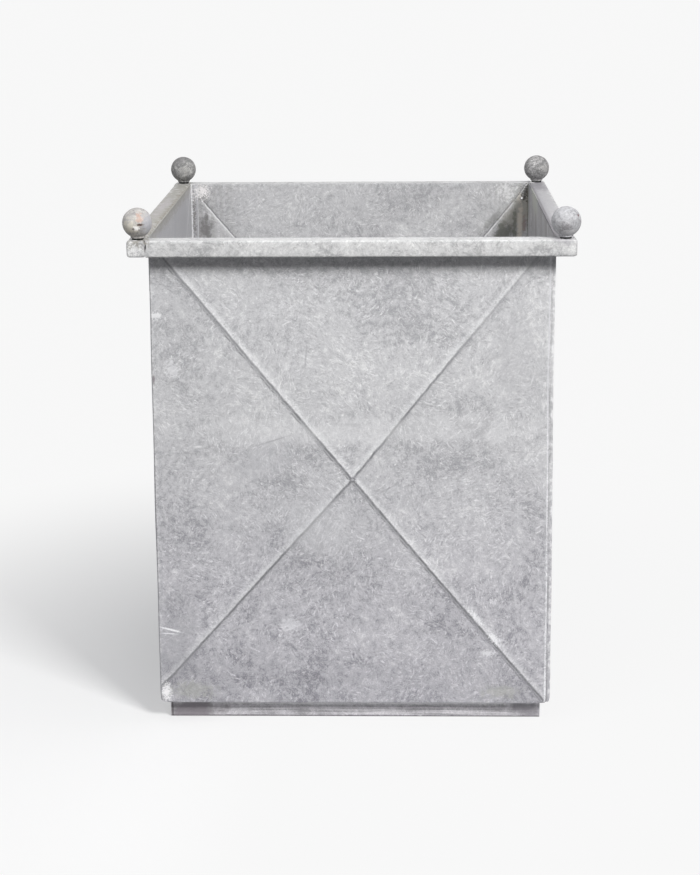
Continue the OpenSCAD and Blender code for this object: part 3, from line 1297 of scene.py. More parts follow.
@dataclass(frozen=True)
class WallFinish(ZincFinish):
    """The walls' zinc, with its crease lines and the painted highlight and shade beside them, edges paled by
    abrasion and painted highlight, and duller inside.
    """

    line: Colour = srgb(122, 122, 125)
    # Pale tone of abraded edges, also used as painted highlight beside the creases and on the bends.
    glow: Colour = srgb(223, 223, 224)
    inside: Colour = srgb(150, 151, 152)
    inside_haze: float = 0.2
    inside_streaks: float = 0.5
    corner_from: float = 0.19
    fading_arm: float = 0.0
    knot_at: float = 0.367
    low_tint: Colour = (0.940, 0.927, 0.952, 1.0)
    low_contrast: float = 0.35
    foot_tint: Colour = (0.88, 0.88, 0.885, 1.0)
    top_wear: float = 1.0

    def follow_form(self, graph: Graph, colour: Any, place_of: Any, blotch: Socket, runs: Socket) -> Any:
        """Adds the lines, the painted highlight and shade beside the creases, the pale edges and the inside
        to the colour.

        Args:
            graph: The material's graph.
            colour: The colour so far.
            place_of: The pattern's coordinates.
            blotch: The pattern of blotches.
            runs: The pattern of streaks.

        Returns:
            The new colour.
        """
        crease, edge, inner, knot = map(graph.named, ("crease", "edge", "inner", "knot"))
        x, _, z = graph.axes(graph.vector("SUBTRACT", place_of, self.shift))
        sway = graph.noise(place_of, 80.0, detail=3.0, roughness=0.6).outputs[0]
        tuft = graph.noise(place_of, 330.0, detail=3.0, roughness=0.65).outputs[0]
        drawn = graph.plus(crease, graph.times(graph.minus(sway, 0.5), 3.2 * MM))
        far = graph.math("ABSOLUTE", drawn)

        low = graph.span(z, 0.5, 0.1)
        boost = graph.times(low, self.low_contrast)
        colour = graph.out("ShaderNodeBrightContrast", {"Color": colour, "Contrast": boost})
        colour = graph.mix(low, colour, graph.mix(1.0, colour, self.low_tint, "MULTIPLY"))
        foot = graph.span(z, 0.125, 0.065)
        colour = graph.mix(foot, colour, graph.mix(1.0, colour, self.foot_tint, "MULTIPLY"))

        # Painted highlight in a band above each crease and painted shade in a band below it, standing for the
        # light on the ridge's flanks.
        glow = graph.times(graph.span(drawn, 12.0 * MM, 3.0 * MM), graph.span(drawn, 0.3 * MM, 2.2 * MM))
        glow = graph.times(glow, graph.span(tuft, 0.38, 0.62, 0.25, 1.0))
        shade = graph.times(graph.span(drawn, -8.0 * MM, -1.0 * MM), graph.span(drawn, 0.5 * MM, -0.5 * MM))
        out = graph.mix(graph.times(shade, 0.2), colour, self.shade)
        out = graph.mix(graph.times(glow, 0.55), out, self.glow)
        marks = self.crease_marks(graph, (x, z), (drawn, far, knot), (blotch, tuft))
        colour = graph.mix(graph.rest(inner), colour, graph.mix(marks, out, self.line))

        thin = graph.noise(graph.vector("MULTIPLY", place_of, (700.0, 700.0, 14.0)), 1.0).outputs[0]
        strip = graph.times(graph.named("fold"), graph.span(thin, 0.58, 0.40, 0.0, 0.6))
        strip = graph.times(strip, graph.plus(1.0, graph.times(inner, 0.4)))
        colour = graph.mix(strip, colour, self.line)

        corner = graph.span(graph.math("ABSOLUTE", x), self.corner_from, 0.275)
        streaks = graph.times(graph.rest(runs), self.inside_streaks)
        dull = graph.mix(graph.times(streaks, corner), colour, self.inside)
        dull = graph.mix(self.inside_haze, dull, self.inside)
        # Inside, painted shade in a thin line just above each crease and a painted highlight along the crease
        # itself.
        inside_crease_shade = graph.span(graph.math("ABSOLUTE", graph.minus(drawn, 2.6 * MM)), 1.5 * MM, 0.4 * MM)
        dull = graph.mix(graph.times(inside_crease_shade, 0.6), dull, self.line)
        dull = graph.mix(graph.span(far, 1.7 * MM, 0.5 * MM, 0.0, 0.85), dull, self.glow)
        colour = graph.mix(inner, colour, dull)

        # Pale edges: abrasion along the panel's border, and at the corner bends also a painted highlight over
        # the bend's own shade; less of it inside.
        worn_and_lit = graph.times(graph.math("POWER", edge, 1.4), graph.span(blotch, 0.3, 0.8, 0.1, 0.7))
        worn_and_lit = graph.times(worn_and_lit, graph.rest(graph.times(inner, 0.7)))
        if self.top_wear < 1.0:
            worn_and_lit = graph.times(worn_and_lit, graph.span(z, 0.698, 0.705, 1.0, self.top_wear))
        return graph.mix(worn_and_lit, colour, self.glow)

    def crease_marks(
        self,
        graph: Graph,
        place: tuple[Socket, Socket],
        distances: tuple[Socket, Socket, Socket],
        patterns: tuple[Socket, Socket],
    ) -> Socket:
        """The dark lines beside the creases and the ring round the knot.

        Args:
            graph: The material's graph.
            place: How far right and how high.
            distances: The distance above the crease, its size, and the distance from the knot.
            patterns: The blotches and the fine tufts.

        Returns:
            How strongly the lines show.
        """
        x, z = place
        drawn, far, knot = distances
        blotch, tuft = patterns
        line = graph.times(graph.span(far, 2.6 * MM, 0.5 * MM), graph.span(blotch, 0.0, 0.5, 0.6, 1.0))
        high = graph.times(graph.span(x, 0.02, -0.14), graph.span(z, 0.42, 0.55))
        line = graph.times(line, graph.rest(graph.times(high, 0.3)))
        if self.fading_arm:
            arm = graph.times(graph.span(x, 0.06, 0.22), graph.span(z, 0.44, 0.6))
            line = graph.times(line, graph.rest(graph.times(arm, self.fading_arm)))
        second = graph.span(graph.math("ABSOLUTE", graph.plus(drawn, 4.2 * MM)), 1.7 * MM, 0.3 * MM)
        second = graph.times(second, graph.span(blotch, 0.2, 0.6, 0.0, 0.7))
        rising = graph.times(x, graph.minus(z, self.knot_at))
        second = graph.times(second, graph.math("LESS_THAN", rising, 0.0))
        marks = graph.times(graph.larger(line, second), graph.span(knot, 1.6 * MM, 3.4 * MM))
        wobble = graph.times(graph.minus(tuft, 0.5), 3.0 * MM)
        ring = graph.math("ABSOLUTE", graph.minus(graph.plus(knot, wobble), 2.7 * MM))
        return graph.larger(marks, graph.times(graph.span(ring, 1.9 * MM, 0.4 * MM), 0.9))


@dataclass(frozen=True)
class PlainFinish:
    """A quiet finish for small parts: one body colour with a fine grain."""

    name: str
    body: Colour
    flecks: Colour
    roughness: float
    metallic: float
    grain: float = 500.0

    def build(self) -> Material:
        """Makes the material."""
        material = bpy.data.materials.new(self.name)
        graph = cleared(material)
        place_of = graph.node("ShaderNodeTexCoord").outputs["Object"]
        grain = graph.noise(place_of, self.grain, detail=4.0, roughness=0.65).outputs[0]
        colour = graph.mix(graph.span(grain, 0.35, 0.7), self.body, self.flecks)
        roughness = graph.span(grain, 0.3, 0.7, self.roughness - 0.08, self.roughness + 0.08)
        graph.surface(colour, self.metallic, roughness, grain, 0.2, 0.0003)
        return material


@dataclass
class Rim:
    """The four tube rails and the plates that close their ends."""

    sizes: PlanterSizes
    tree: Tree
    wall: float = 2.0 * MM
    round_edge: float = 4.4 * MM
    round_front: float = 2.6 * MM
    slit: float = 0.25 * MM
    stations: int = 200
    wander: float = 0.45 * MM
    cap_round: float = 1.3 * MM
    end_round: float = 0.9 * MM
    bead: float = 2.1 * MM
    bead_press: float = 0.09
    bead_gap: Pair = (9.0 * MM, 16.0 * MM)

    def rounding(self, side: Side) -> float:
        """The tube's corner radius: the side rails are worn rounder."""
        return self.round_edge if side in (Side.LEFT, Side.RIGHT) else self.round_front

    def rail(self, side: Side, material: Material) -> Piece:
        """Builds one rail.

        Args:
            side: The rail's side.
            material: Its finish.

        Returns:
            The rail.
        """
        sizes = self.sizes
        width = sizes.rim_half - sizes.wall_half
        height = sizes.rim_top - sizes.rail_bottom
        start = sizes.rail_start + self.slit
        length = sizes.rail_end - start
        name = f"{side.word}_rim_rail"
        values = {"Length": length, "Width": height, "Height": width, "Wall": self.wall}
        values |= {"Round": self.rounding(side), "Stations": self.stations, "Wander": self.wander}
        values |= {"Seed": 3.0 * side.value + 1.0, "Material": material}
        piece = grown(f"{name}_tube", self.tree, values)

        def seat(points: np.ndarray) -> np.ndarray:
            """Lays the tube along its side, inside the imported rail's box."""
            along = start + length / 2.0 + points[:, 2]
            across = -(sizes.rim_half + sizes.wall_half) / 2.0 + points[:, 1]
            up = (sizes.rim_top + sizes.rail_bottom) / 2.0 + points[:, 0]
            tuck = self.end_round * smooth_step((along - sizes.rail_end) / (3.0 * MM) + 1.0)
            across += tuck * np.sign(-points[:, 1])
            up -= tuck * np.sign(points[:, 0])
            across = np.clip(across, -sizes.rim_half, -sizes.wall_half)
            up = np.clip(up, sizes.rail_bottom, sizes.rim_top)
            return side.turn(np.stack([along, across, up], axis=1))

        place(piece, seat, sharp_degrees=50.0)
        return dress(piece, material, "rim_zinc", name)

    def weld(self, side: Side, tree: Tree, material: Material) -> Piece:
        """Fills the joint at the rail's left end with low beads of weld.

        Args:
            side: The rail's side.
            tree: The tree that grows a run of metal.
            material: The weld's finish.

        Returns:
            The beads as one piece.
        """
        sizes = self.sizes
        joint = sizes.rail_start + self.slit / 2.0
        height = sizes.rim_top - sizes.rail_bottom
        name = f"{side.word}_rail_weld"

        def bead(number: int, length: float, seat: Callable[[np.ndarray], np.ndarray]) -> Piece:
            """Grows one bead and sets it down with a seat."""
            values = {"Length": length, "Size": self.bead, "Stations": 40, "Ripple": 0.9}
            values |= {"Seed": 20.0 + side.value * 3.0 + number, "Material": material}
            run = grown(f"{name}_{number}", tree, values)
            return place(run, lambda points: side.turn(seat(points)))

        def on_face(low: float) -> Callable[[np.ndarray], np.ndarray]:
            """Sets a bead upright on the rail's face."""

            def seat(points: np.ndarray) -> np.ndarray:
                """The bead's points on the face."""
                out = -sizes.rim_half + self.bead_press * points[:, 1]
                return np.stack([joint + points[:, 0], out, sizes.rail_bottom + low + points[:, 2]], axis=1)

            return seat

        def on_top(points: np.ndarray) -> np.ndarray:
            """Sets a bead along the rail's top."""
            across = -sizes.rim_half + 2.0 * MM + points[:, 2]
            up = sizes.rim_top + self.bead_press * points[:, 1]
            return np.stack([joint + points[:, 0], across, up], axis=1)

        low, high = self.bead_gap
        ends = 1.5 * MM
        beads = [
            bead(1, low - ends, on_face(ends)),
            bead(2, height - high - ends, on_face(high)),
            bead(3, sizes.rim_half - sizes.wall_half - 4.0 * MM, on_top),
        ]
        return dress(joined(beads), material, "rim_zinc")

    def cap(self, side: Side, material: Material) -> Piece:
        """Builds one end plate: its outline with its outer edge eased.

        Args:
            side: The side whose rail it closes.
            material: Its finish.

        Returns:
            The plate.
        """
        low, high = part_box(f"{Side.FRONT.word}_rail_cap")
        half = np.array([(high.y - low.y) / 2.0, (high.z - low.z) / 2.0]) - self.end_round
        centre = np.array([(high.y + low.y) / 2.0, (high.z + low.z) / 2.0])

        def ring(depth: float, shrink: float) -> np.ndarray:
            """One outline of the plate at a depth, drawn in by an amount."""
            radius = max(self.rounding(side) - shrink, 0.2 * MM)
            reach = half - shrink - radius
            loop = []
            for quarter, corner in enumerate(((1, 1), (-1, 1), (-1, -1), (1, -1))):
                for step in range(7):
                    angle = math.pi / 2 * (quarter + step / 6.0)
                    across = centre[0] + corner[0] * reach[0] + radius * math.cos(angle)
                    up = centre[1] + corner[1] * reach[1] + radius * math.sin(angle)
                    loop.append((depth, across, up))
            return np.array(loop)

        ease = self.cap_round
        layers = [ring(low.x, 0.1 * MM), ring(high.x - ease, 0.0)]
        for step in range(1, 4):
            angle = math.pi / 2 * step / 3.0
            layers.append(ring(high.x - ease + ease * math.sin(angle), ease * (1 - math.cos(angle))))
        layers.append(ring(high.x, ease + 2.0 * MM))
        count = len(layers[0])
        points = np.vstack(layers)
        faces: Faces = []
        for layer in range(len(layers) - 1):
            for k in range(count):
                n = (k + 1) % count
                below, above = layer * count, (layer + 1) * count
                faces.append((below + k, below + n, above + n, above + k))
        faces.append(tuple(range(count))[::-1])
        faces.append(tuple((len(layers) - 1) * count + k for k in range(count)))
        name = f"{side.word}_rail_cap"
        piece = mesh_piece(f"{name}_plate", side.turn(points), faces, sharp_degrees=35.0)
        return dress(piece, material, "rim_zinc", name)


@dataclass
class Finial:
    """A hollow ball with a collar, turned from its section."""

    sizes: PlanterSizes
    side: Side
    ball_wall: float = 2.5 * MM
    collar_radius: float = 9.8 * MM
    fillet: float = 0.5 * MM
    foot_round: float = 1.7 * MM
    stud_radius: float = 4.0 * MM
    thread_depth: float = 16.0 * MM
    segments: int = 96
    rows: int = 60
    dent: float = 0.25 * MM
    dents: int = 22

    def section(self) -> list[Pair]:
        """The section from the top of the outside round to the top of the hollow."""
        radius, centre = self.ball_size, self.centre
        end = math.pi - math.asin((self.collar_radius + self.fillet) / radius)
        outline = self.arc(radius, centre, 0.0, end, self.rows)
        top = outline[-1][1] - self.fillet
        for k in range(1, 6):
            angle = math.pi / 2 * k / 6.0
            out = self.collar_radius + self.fillet * (1 - math.sin(angle))
            outline.append((out, top + self.fillet * math.cos(angle)))
        for height in (top, (top + self.foot_round) / 2.0, self.foot_round):
            outline.append((self.collar_radius, height))
        for k in range(1, 5):
            angle = math.pi / 2 * k / 4.0
            out = self.collar_radius - self.foot_round * (1 - math.cos(angle))
            outline.append((out, self.foot_round * (1 - math.sin(angle))))
        hole = [(self.stud_radius, 0.0), (self.stud_radius, self.thread_depth), (0.0, self.thread_depth)]
        return outline + hole

    def hollow(self) -> list[Pair]:
        """The hollow's section, from the middle of the boss round to the hollow's top."""
        inner = self.ball_size - self.ball_wall
        boss = self.collar_radius - self.ball_wall
        boss_top = self.thread_depth + self.ball_wall
        start = math.pi - math.asin(boss / inner)
        return [(0.0, boss_top), (boss, boss_top), *self.arc(inner, self.centre, start, 0.0, 24)]

    @property
    def ball_size(self) -> float:
        """The ball's radius before its dents."""
        return self.sizes.ball_radius - 0.1 * MM

    @property
    def centre(self) -> float:
        """The height of the ball's middle above the collar's foot."""
        return self.sizes.ball_centre - self.sizes.collar_foot

    @staticmethod
    def arc(radius: float, centre: float, start: float, end: float, steps: int) -> list[Pair]:
        """Points round a circle on the axis, by their angle from its top."""
        angles = [start + (end - start) * k / steps for k in range(steps + 1)]
        return [(radius * math.sin(angle), centre + radius * math.cos(angle)) for angle in angles]

    def turned(self, outline: Sequence[Pair]) -> tuple[np.ndarray, Faces]:
        """Turns a section that starts and ends on the axis into a closed skin.

        Args:
            outline: The section's radii and heights.

        Returns:
            The skin's points and faces.
        """
        points: list[Triple] = []
        rings: list[list[int]] = []
        for radius, height in outline:
            if radius < 1e-7:
                rings.append([len(points)])
                points.append((0.0, 0.0, height))
                continue
            ring = []
            for k in range(self.segments):
                angle = 2 * math.pi * k / self.segments
                ring.append(len(points))
                points.append((radius * math.cos(angle), radius * math.sin(angle), height))
            rings.append(ring)
        faces: Faces = []
        for upper, lower in zip(rings, rings[1:]):
            if len(upper) == 1 and len(lower) == 1:
                continue
            for k in range(self.segments):
                n = (k + 1) % self.segments
                if len(upper) == 1:
                    face: tuple[int, ...] = (upper[0], lower[k], lower[n])
                elif len(lower) == 1:
                    face = (upper[k], lower[0], upper[n])
                else:
                    face = (upper[k], lower[k], lower[n], upper[n])
                faces.append(face)
        return np.array(points), faces

    def build(self, material: Material) -> Piece:
        """Builds and dresses the finial.

        Args:
            material: Its finish.

        Returns:
            The finial.
        """
        outer, faces = self.turned(self.section())
        hollow, hollow_faces = self.turned(self.hollow())
        rng = np.random.default_rng(40 + self.side.value)
        away = outer - np.array([0.0, 0.0, self.centre])
        length = np.linalg.norm(away, axis=1)
        unit = away / np.maximum(length, 1e-9)[:, None]
        press = np.zeros(len(outer))
        for _ in range(self.dents):
            spot = rng.normal(size=3)
            spot /= np.linalg.norm(spot)
            size = rng.uniform(0.10, 0.35)
            press += rng.uniform(0.15, 1.0) * np.exp(-(np.linalg.norm(unit - spot, axis=1) / size) ** 2)
        on_ball = length > self.sizes.ball_radius - 0.3 * MM
        outer = outer - unit * (np.minimum(press, 1.6) * self.dent * on_ball)[:, None]
        shift = len(outer)
        points = np.vstack([outer, hollow])
        faces = faces + [tuple(c + shift for c in face) for face in hollow_faces]
        at = self.sizes.finial_at
        points = points + np.array([at, -at, self.sizes.collar_foot])
        name = f"finial_{self.side.corner}"
        piece = mesh_piece(f"{name}_ball", self.side.turn(points), faces, sharp_degrees=38.0)
        return dress(piece, material, "finial_zinc", name)


@dataclass
class Seals:
    """The soft washers squeezed between the collars and the rails."""

    sizes: PlanterSizes
    radius: float = 8.0 * MM
    hole: float = 4.0 * MM
    bulge: float = 0.45 * MM
    segments: int = 48

    def build(self, material: Material) -> Piece:
        """Builds the four washers as one piece."""
        low, high, at = self.sizes.rim_top, self.sizes.collar_foot, self.sizes.finial_at
        section = [(self.hole, low)]
        for k in range(9):
            angle = math.pi * k / 8.0
            height = low + (high - low) * (1 - math.cos(angle)) / 2.0
            section.append((self.radius - self.bulge + self.bulge * math.sin(angle), height))
        section.append((self.hole, high))
        points: list[np.ndarray] = []
        faces: Faces = []
        for side in Side:
            start = sum(len(p) for p in points)
            ring = []
            for radius, height in section:
                for k in range(self.segments):
                    angle = 2 * math.pi * k / self.segments
                    ring.append((at + radius * math.cos(angle), -at + radius * math.sin(angle), height))
            points.append(side.turn(np.array(ring)))
            rows = len(section)
            for row in range(rows):
                below, above = row * self.segments, ((row + 1) % rows) * self.segments
                for k in range(self.segments):
                    n = (k + 1) % self.segments
                    faces.append((start + below + k, start + below + n, start + above + n, start + above + k))
        piece = mesh_piece("sealing_washers_rubber_and_gap_shade", np.vstack(points), faces)
        return dress(piece, material, "seal_rubber", "sealing_washers")


@dataclass
class Studs:
    """The four threaded studs that hold the finials."""

    sizes: PlanterSizes
    radius: float = 4.0 * MM
    pitch: float = 1.25 * MM
    depth: float = 0.7 * MM

    def build(self, material: Material) -> Piece:
        """Builds the four studs as one piece.

        Args:
            material: Their finish.

        Returns:
            The studs.
        """
        low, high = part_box("finial_studs")
        values = {"Radius": self.radius, "Pitch": self.pitch, "Depth": self.depth, "Foot": low.z}
        values |= {"Length": high.z - low.z, "Spread": 2.0 * self.sizes.finial_at, "Material": material}
        studs = grown("finial_studs_threaded", thread_tree(), values)
        return dress(place(studs, lambda points: points), material, "plated_steel", "finial_studs")


@dataclass
class Seam:
    """The solder of one corner: a run outside along the lap and one inside."""

    sizes: PlanterSizes
    side: Side
    hand: HandWork
    tree: Tree
    width: float = 2.1 * MM
    corner_return: float = 12.0 * MM
    inside_width: float = 0.8 * MM

    def run(self, name: str, size: float, seed: float, material: Material) -> Piece:
        """Grows one run of solder on the origin."""
        length = self.sizes.rim_top - self.sizes.pan_bottom - 1.0 * MM
        values = {"Length": length, "Size": size, "Stations": 420, "Ripple": 0.45}
        return grown(name, self.tree, values | {"Seed": seed, "Material": material})

    def build(self, material: Material) -> Piece:
        """Builds and dresses the corner's solder.

        Args:
            material: Its finish.

        Returns:
            The piece.
        """
        sizes = self.sizes
        foot = sizes.pan_bottom + 0.5 * MM
        lap = np.array([sizes.wall_right, -sizes.wall_half + sizes.sheet])
        free = np.array([sizes.wall_half - self.corner_return, -sizes.wall_half + 2 * sizes.sheet])

        def outside(points: np.ndarray) -> np.ndarray:
            """Presses the run into the step of the lap."""
            x = lap[0] - 1.7 * MM + np.clip(points[:, 0], -2.0 * MM, 1.7 * MM)
            y = lap[1] + np.clip(points[:, 1], -sizes.sheet - 0.25 * MM, 0.0)
            return self.hand.settle(self.side.turn(np.stack([x, y, foot + points[:, 2]], axis=1)))

        def inside(points: np.ndarray) -> np.ndarray:
            """Presses the run against the free edge of the return."""
            x = free[0] + np.clip(points[:, 0], -1.6 * MM, 0.3 * MM)
            y = free[1] - sizes.sheet + np.clip(points[:, 1], 0.0, 1.4 * MM)
            return self.hand.settle(self.side.turn(np.stack([x, y, foot + points[:, 2]], axis=1)))

        name = f"seam_{self.side.corner}"
        outer = place(self.run(f"{name}_solder", self.width, 5.0 + self.side.value, material), outside)
        inner = place(self.run(f"{name}_inner", self.inside_width, 11.0 + self.side.value, material), inside)
        return dress(joined([outer, inner]), material, "solder", name)


@dataclass
class PlinthSide:
    """One folded channel of the plinth."""

    sizes: PlanterSizes
    side: Side
    bend: float = 1.8 * MM
    stations: int = 90
    wave: float = 0.25 * MM

    def build(self, material: Material) -> Piece:
        """Builds and dresses the channel.

        Args:
            material: Its finish.

        Returns:
            The channel.
        """
        sizes = self.sizes
        face, top = -sizes.plinth_half, sizes.wall_bottom
        edge = face + sizes.plinth_flange
        profile: list[Pair] = [(edge, 0.0), ((edge + face) / 2.0, 0.0)]
        for k in range(5):
            angle = math.pi / 2 * k / 4.0
            out = face + self.bend - self.bend * math.sin(angle)
            profile.append((out, self.bend - self.bend * math.cos(angle)))
        profile += [(face, top * share) for share in (0.25, 0.4, 0.55, 0.7, 0.85)]
        for k in range(5):
            angle = math.pi / 2 * k / 4.0
            out = face + self.bend - self.bend * math.cos(angle)
            profile.append((out, top - self.bend + self.bend * math.sin(angle)))
        profile += [((edge + face) / 2.0, top), (edge, top)]
        points = []
        count = len(profile)
        for station in range(self.stations + 1):
            share = station / self.stations
            for y, z in profile:
                low = max(sizes.plinth_start, y)
                high = min(sizes.plinth_half, -y)
                x = low + (high - low) * share
                mid = math.sin(math.pi * z / top) * math.sin(math.pi * share)
                sway = self.wave * mid * math.sin(9.0 * x + self.side.value * 2.0)
                points.append((x, y + abs(sway), z))
        faces: Faces = []
        for station in range(self.stations):
            for k in range(count - 1):
                a = station * count + k
                faces.append((a, a + 1, a + count + 1, a + count))
        array = np.array(points)
        probe = faces[8]
        normal = np.cross(array[probe[1]] - array[probe[0]], array[probe[2]] - array[probe[0]])
        if normal[1] > 0:
            faces = [f[::-1] for f in faces]
        solid, closed, inner = thicken(array, faces, sizes.sheet)
        name = f"{self.side.word}_plinth_side"
        piece = mesh_piece(f"{name}_channel", self.side.turn(solid), closed, {"inner": inner}, 50.0)
        return dress(piece, material, "plinth_zinc", name)


@dataclass
class Studio:
    """The pale floor, the soft lamps and the camera."""

    floor_reach: float = 40.0
    background: float = 0.935
    dome_low: float = 0.03
    dome_high: float = 0.5
    behind_glow: float = 1.5
    floor_glow: float = 0.065
    floor_paint: float = 0.705
    fade_centre: Triple = (0.0, -0.02, 0.0)
    fade_span: Pair = (0.02, 1.19)
    clear_span: Pair = (-0.32, -0.10)
    clear: float = 0.9
    eye: Triple = (0.0653618, -2.8838858, 1.1237142)
    aim: Triple = (-0.0266, 0.262, -0.0074)
    focal_pixels: float = 1927.3369
    frame_height: float = 875.0
    sensor: float = 36.0
    target: Triple = (0.0, -0.28, 0.40)
    key: Triple = (1.90, -2.75, 3.06)
    key_size: float = 1.15
    key_watts: float = 176.0
    key_tint: Triple = (1.0, 0.995, 0.985)
    fill: Triple = (-1.7, -2.0, 3.0)
    fill_size: float = 2.2
    fill_watts: float = 54.0
    fill_tint: Triple = (0.985, 0.99, 1.0)
    dome_tint: Colour = (0.96, 0.97, 1.0, 1.0)
    floor_far: Colour = (0.20, 0.20, 0.205, 1.0)
    floor_near: Colour = (0.44, 0.44, 0.45, 1.0)

    def camera(self) -> None:
        """Sets the camera where the photograph was taken from."""
        yaw, pitch, roll = self.aim
        data = bpy.data.cameras.new("view")
        data.sensor_fit = "VERTICAL"
        data.sensor_height = self.sensor
        data.lens = self.focal_pixels / self.frame_height * self.sensor
        data.clip_end = 200.0
        level_aim = math.cos(pitch)
        forward = Vector((math.sin(yaw) * level_aim, math.cos(yaw) * level_aim, -math.sin(pitch)))
        level = Vector((math.cos(yaw), -math.sin(yaw), 0.0))
        upright = level.cross(forward)
        right = level * math.cos(roll) + upright * math.sin(roll)
        up = -level * math.sin(roll) + upright * math.cos(roll)
        camera = linked("view", data)
        turn = Matrix((right, up, -forward)).transposed()
        camera.matrix_world = Matrix.Translation(Vector(self.eye)) @ turn.to_4x4()
        bpy.context.scene.camera = camera

    def lamp(self, name: str, at: Triple, size: float, watts: float, tint: Triple) -> None:
        """Adds one soft square lamp that points at the front wall.

        Args:
            name: The lamp's name.
            at: Where it stands.
            size: Its side.
            watts: Its power.
            tint: Its colour.
        """
        data = bpy.data.lights.new(name, "AREA")
        data.shape = "SQUARE"
        data.size = size
        data.energy = watts
        data.color = tint
        lamp = linked(name, data)
        lamp.location = at
        towards = Vector(self.target) - Vector(at)
        lamp.rotation_euler = towards.to_track_quat("-Z", "Y").to_euler()

    def shows_background(self, graph: Graph) -> Socket:
        """1 for what the camera, a reflection or a clear material sees."""
        path = graph.node("ShaderNodeLightPath")
        seen = graph.larger(path.outputs["Is Camera Ray"], path.outputs["Is Glossy Ray"])
        return graph.larger(seen, path.outputs["Is Transmission Ray"])

    def lights(self) -> None:
        """Adds the key from the upper right of the camera, a fill, and the pale world."""
        self.lamp("key", self.key, self.key_size, self.key_watts, self.key_tint)
        self.lamp("fill", self.fill, self.fill_size, self.fill_watts, self.fill_tint)
        world = bpy.data.worlds.new("studio")
        graph = cleared(world)
        plain = self.shows_background(graph)
        _, forward, height = graph.axes(graph.node("ShaderNodeTexCoord").outputs["Generated"])
        dome = graph.span(height, 0.25, 0.95, self.dome_low, self.dome_high)
        behind = graph.times(graph.span(forward, 0.3, 0.8), graph.span(height, 0.40, 0.20))
        dome = graph.plus(dome, graph.times(behind, self.behind_glow))
        soft = graph.out("ShaderNodeBackground", {"Color": self.dome_tint, "Strength": dome})
        pale = graph.out("ShaderNodeBackground", {"Color": WHITE, "Strength": self.background})
        graph.show(graph.out("ShaderNodeMixShader", {0: plain, 1: soft, 2: pale}), "ShaderNodeOutputWorld")
        bpy.context.scene.world = world

    def floor(self) -> None:
        """Lays a pale floor that keeps the shadow and fades into the background."""
        reach = self.floor_reach
        corners = np.array([(x * reach, y * reach, 0.0) for x, y in ((-1, -1), (1, -1), (1, 1), (-1, 1))])
        floor = mesh_piece("floor", corners, [(0, 1, 2, 3)])
        material = bpy.data.materials.new("studio_floor")
        graph = cleared(material)
        place_of = graph.node("ShaderNodeTexCoord").outputs["Object"]
        length = graph.length(graph.vector("SUBTRACT", place_of, self.fade_centre))
        seen = self.shows_background(graph)
        off_x, off_y, _ = graph.axes(graph.vector("ABSOLUTE", place_of))
        close = graph.span(graph.larger(off_x, off_y), 0.52, 0.38)
        bounce = graph.mix(close, self.floor_far, self.floor_near)
        paint_seen = (self.floor_paint, self.floor_paint, self.floor_paint, 1.0)
        dimmer = graph.out("ShaderNodeBsdfDiffuse", {"Color": paint_seen})
        lift = graph.out("ShaderNodeEmission", {"Color": WHITE, "Strength": self.floor_glow})
        far = graph.out("ShaderNodeEmission", {"Color": WHITE, "Strength": self.background})
        left = graph.span(graph.axes(place_of)[0], *self.clear_span, 1.0, 1.0 - self.clear)
        fade = graph.rest(graph.times(graph.span(length, *self.fade_span, 1.0, 0.0), left))
        hidden = graph.out("ShaderNodeBsdfDiffuse", {"Color": bounce})
        shown = graph.out("ShaderNodeAddShader", {0: dimmer, 1: lift})
        near = graph.out("ShaderNodeMixShader", {0: seen, 1: hidden, 2: shown})
        graph.show(graph.out("ShaderNodeMixShader", {0: graph.times(fade, seen), 1: near, 2: far}))
        floor.data.materials.append(material)

    def build(self) -> None:
        """Sets up the whole studio."""
        bpy.context.scene.view_settings.view_transform = "Standard"
        self.camera()
        self.lights()
        self.floor()


# Where the marks of the front wall's face and of the back wall's inside lie, in y.
FRONT_FACE = -0.283
BACK_LINING = 0.277


def face_mark(
    x: float, z: float, wide: float, high: float, tone: Triple, *look: float, deep: float = 0.02
) -> Mark:
    """A mark outside on the front wall; look is its strength, raggedness, grain and tilt."""
    return Mark((x, FRONT_FACE, z), (wide, deep, high), srgb(*tone), *look)


def lining_mark(
    x: float, z: float, wide: float, high: float, tone: Triple, *look: float, deep: float = 0.02
) -> Mark:
    """A mark inside, at the back; look is its strength, raggedness, grain and tilt."""
    return replace(Mark((x, BACK_LINING, z), (wide, deep, high), srgb(*tone), *look), inside=True)


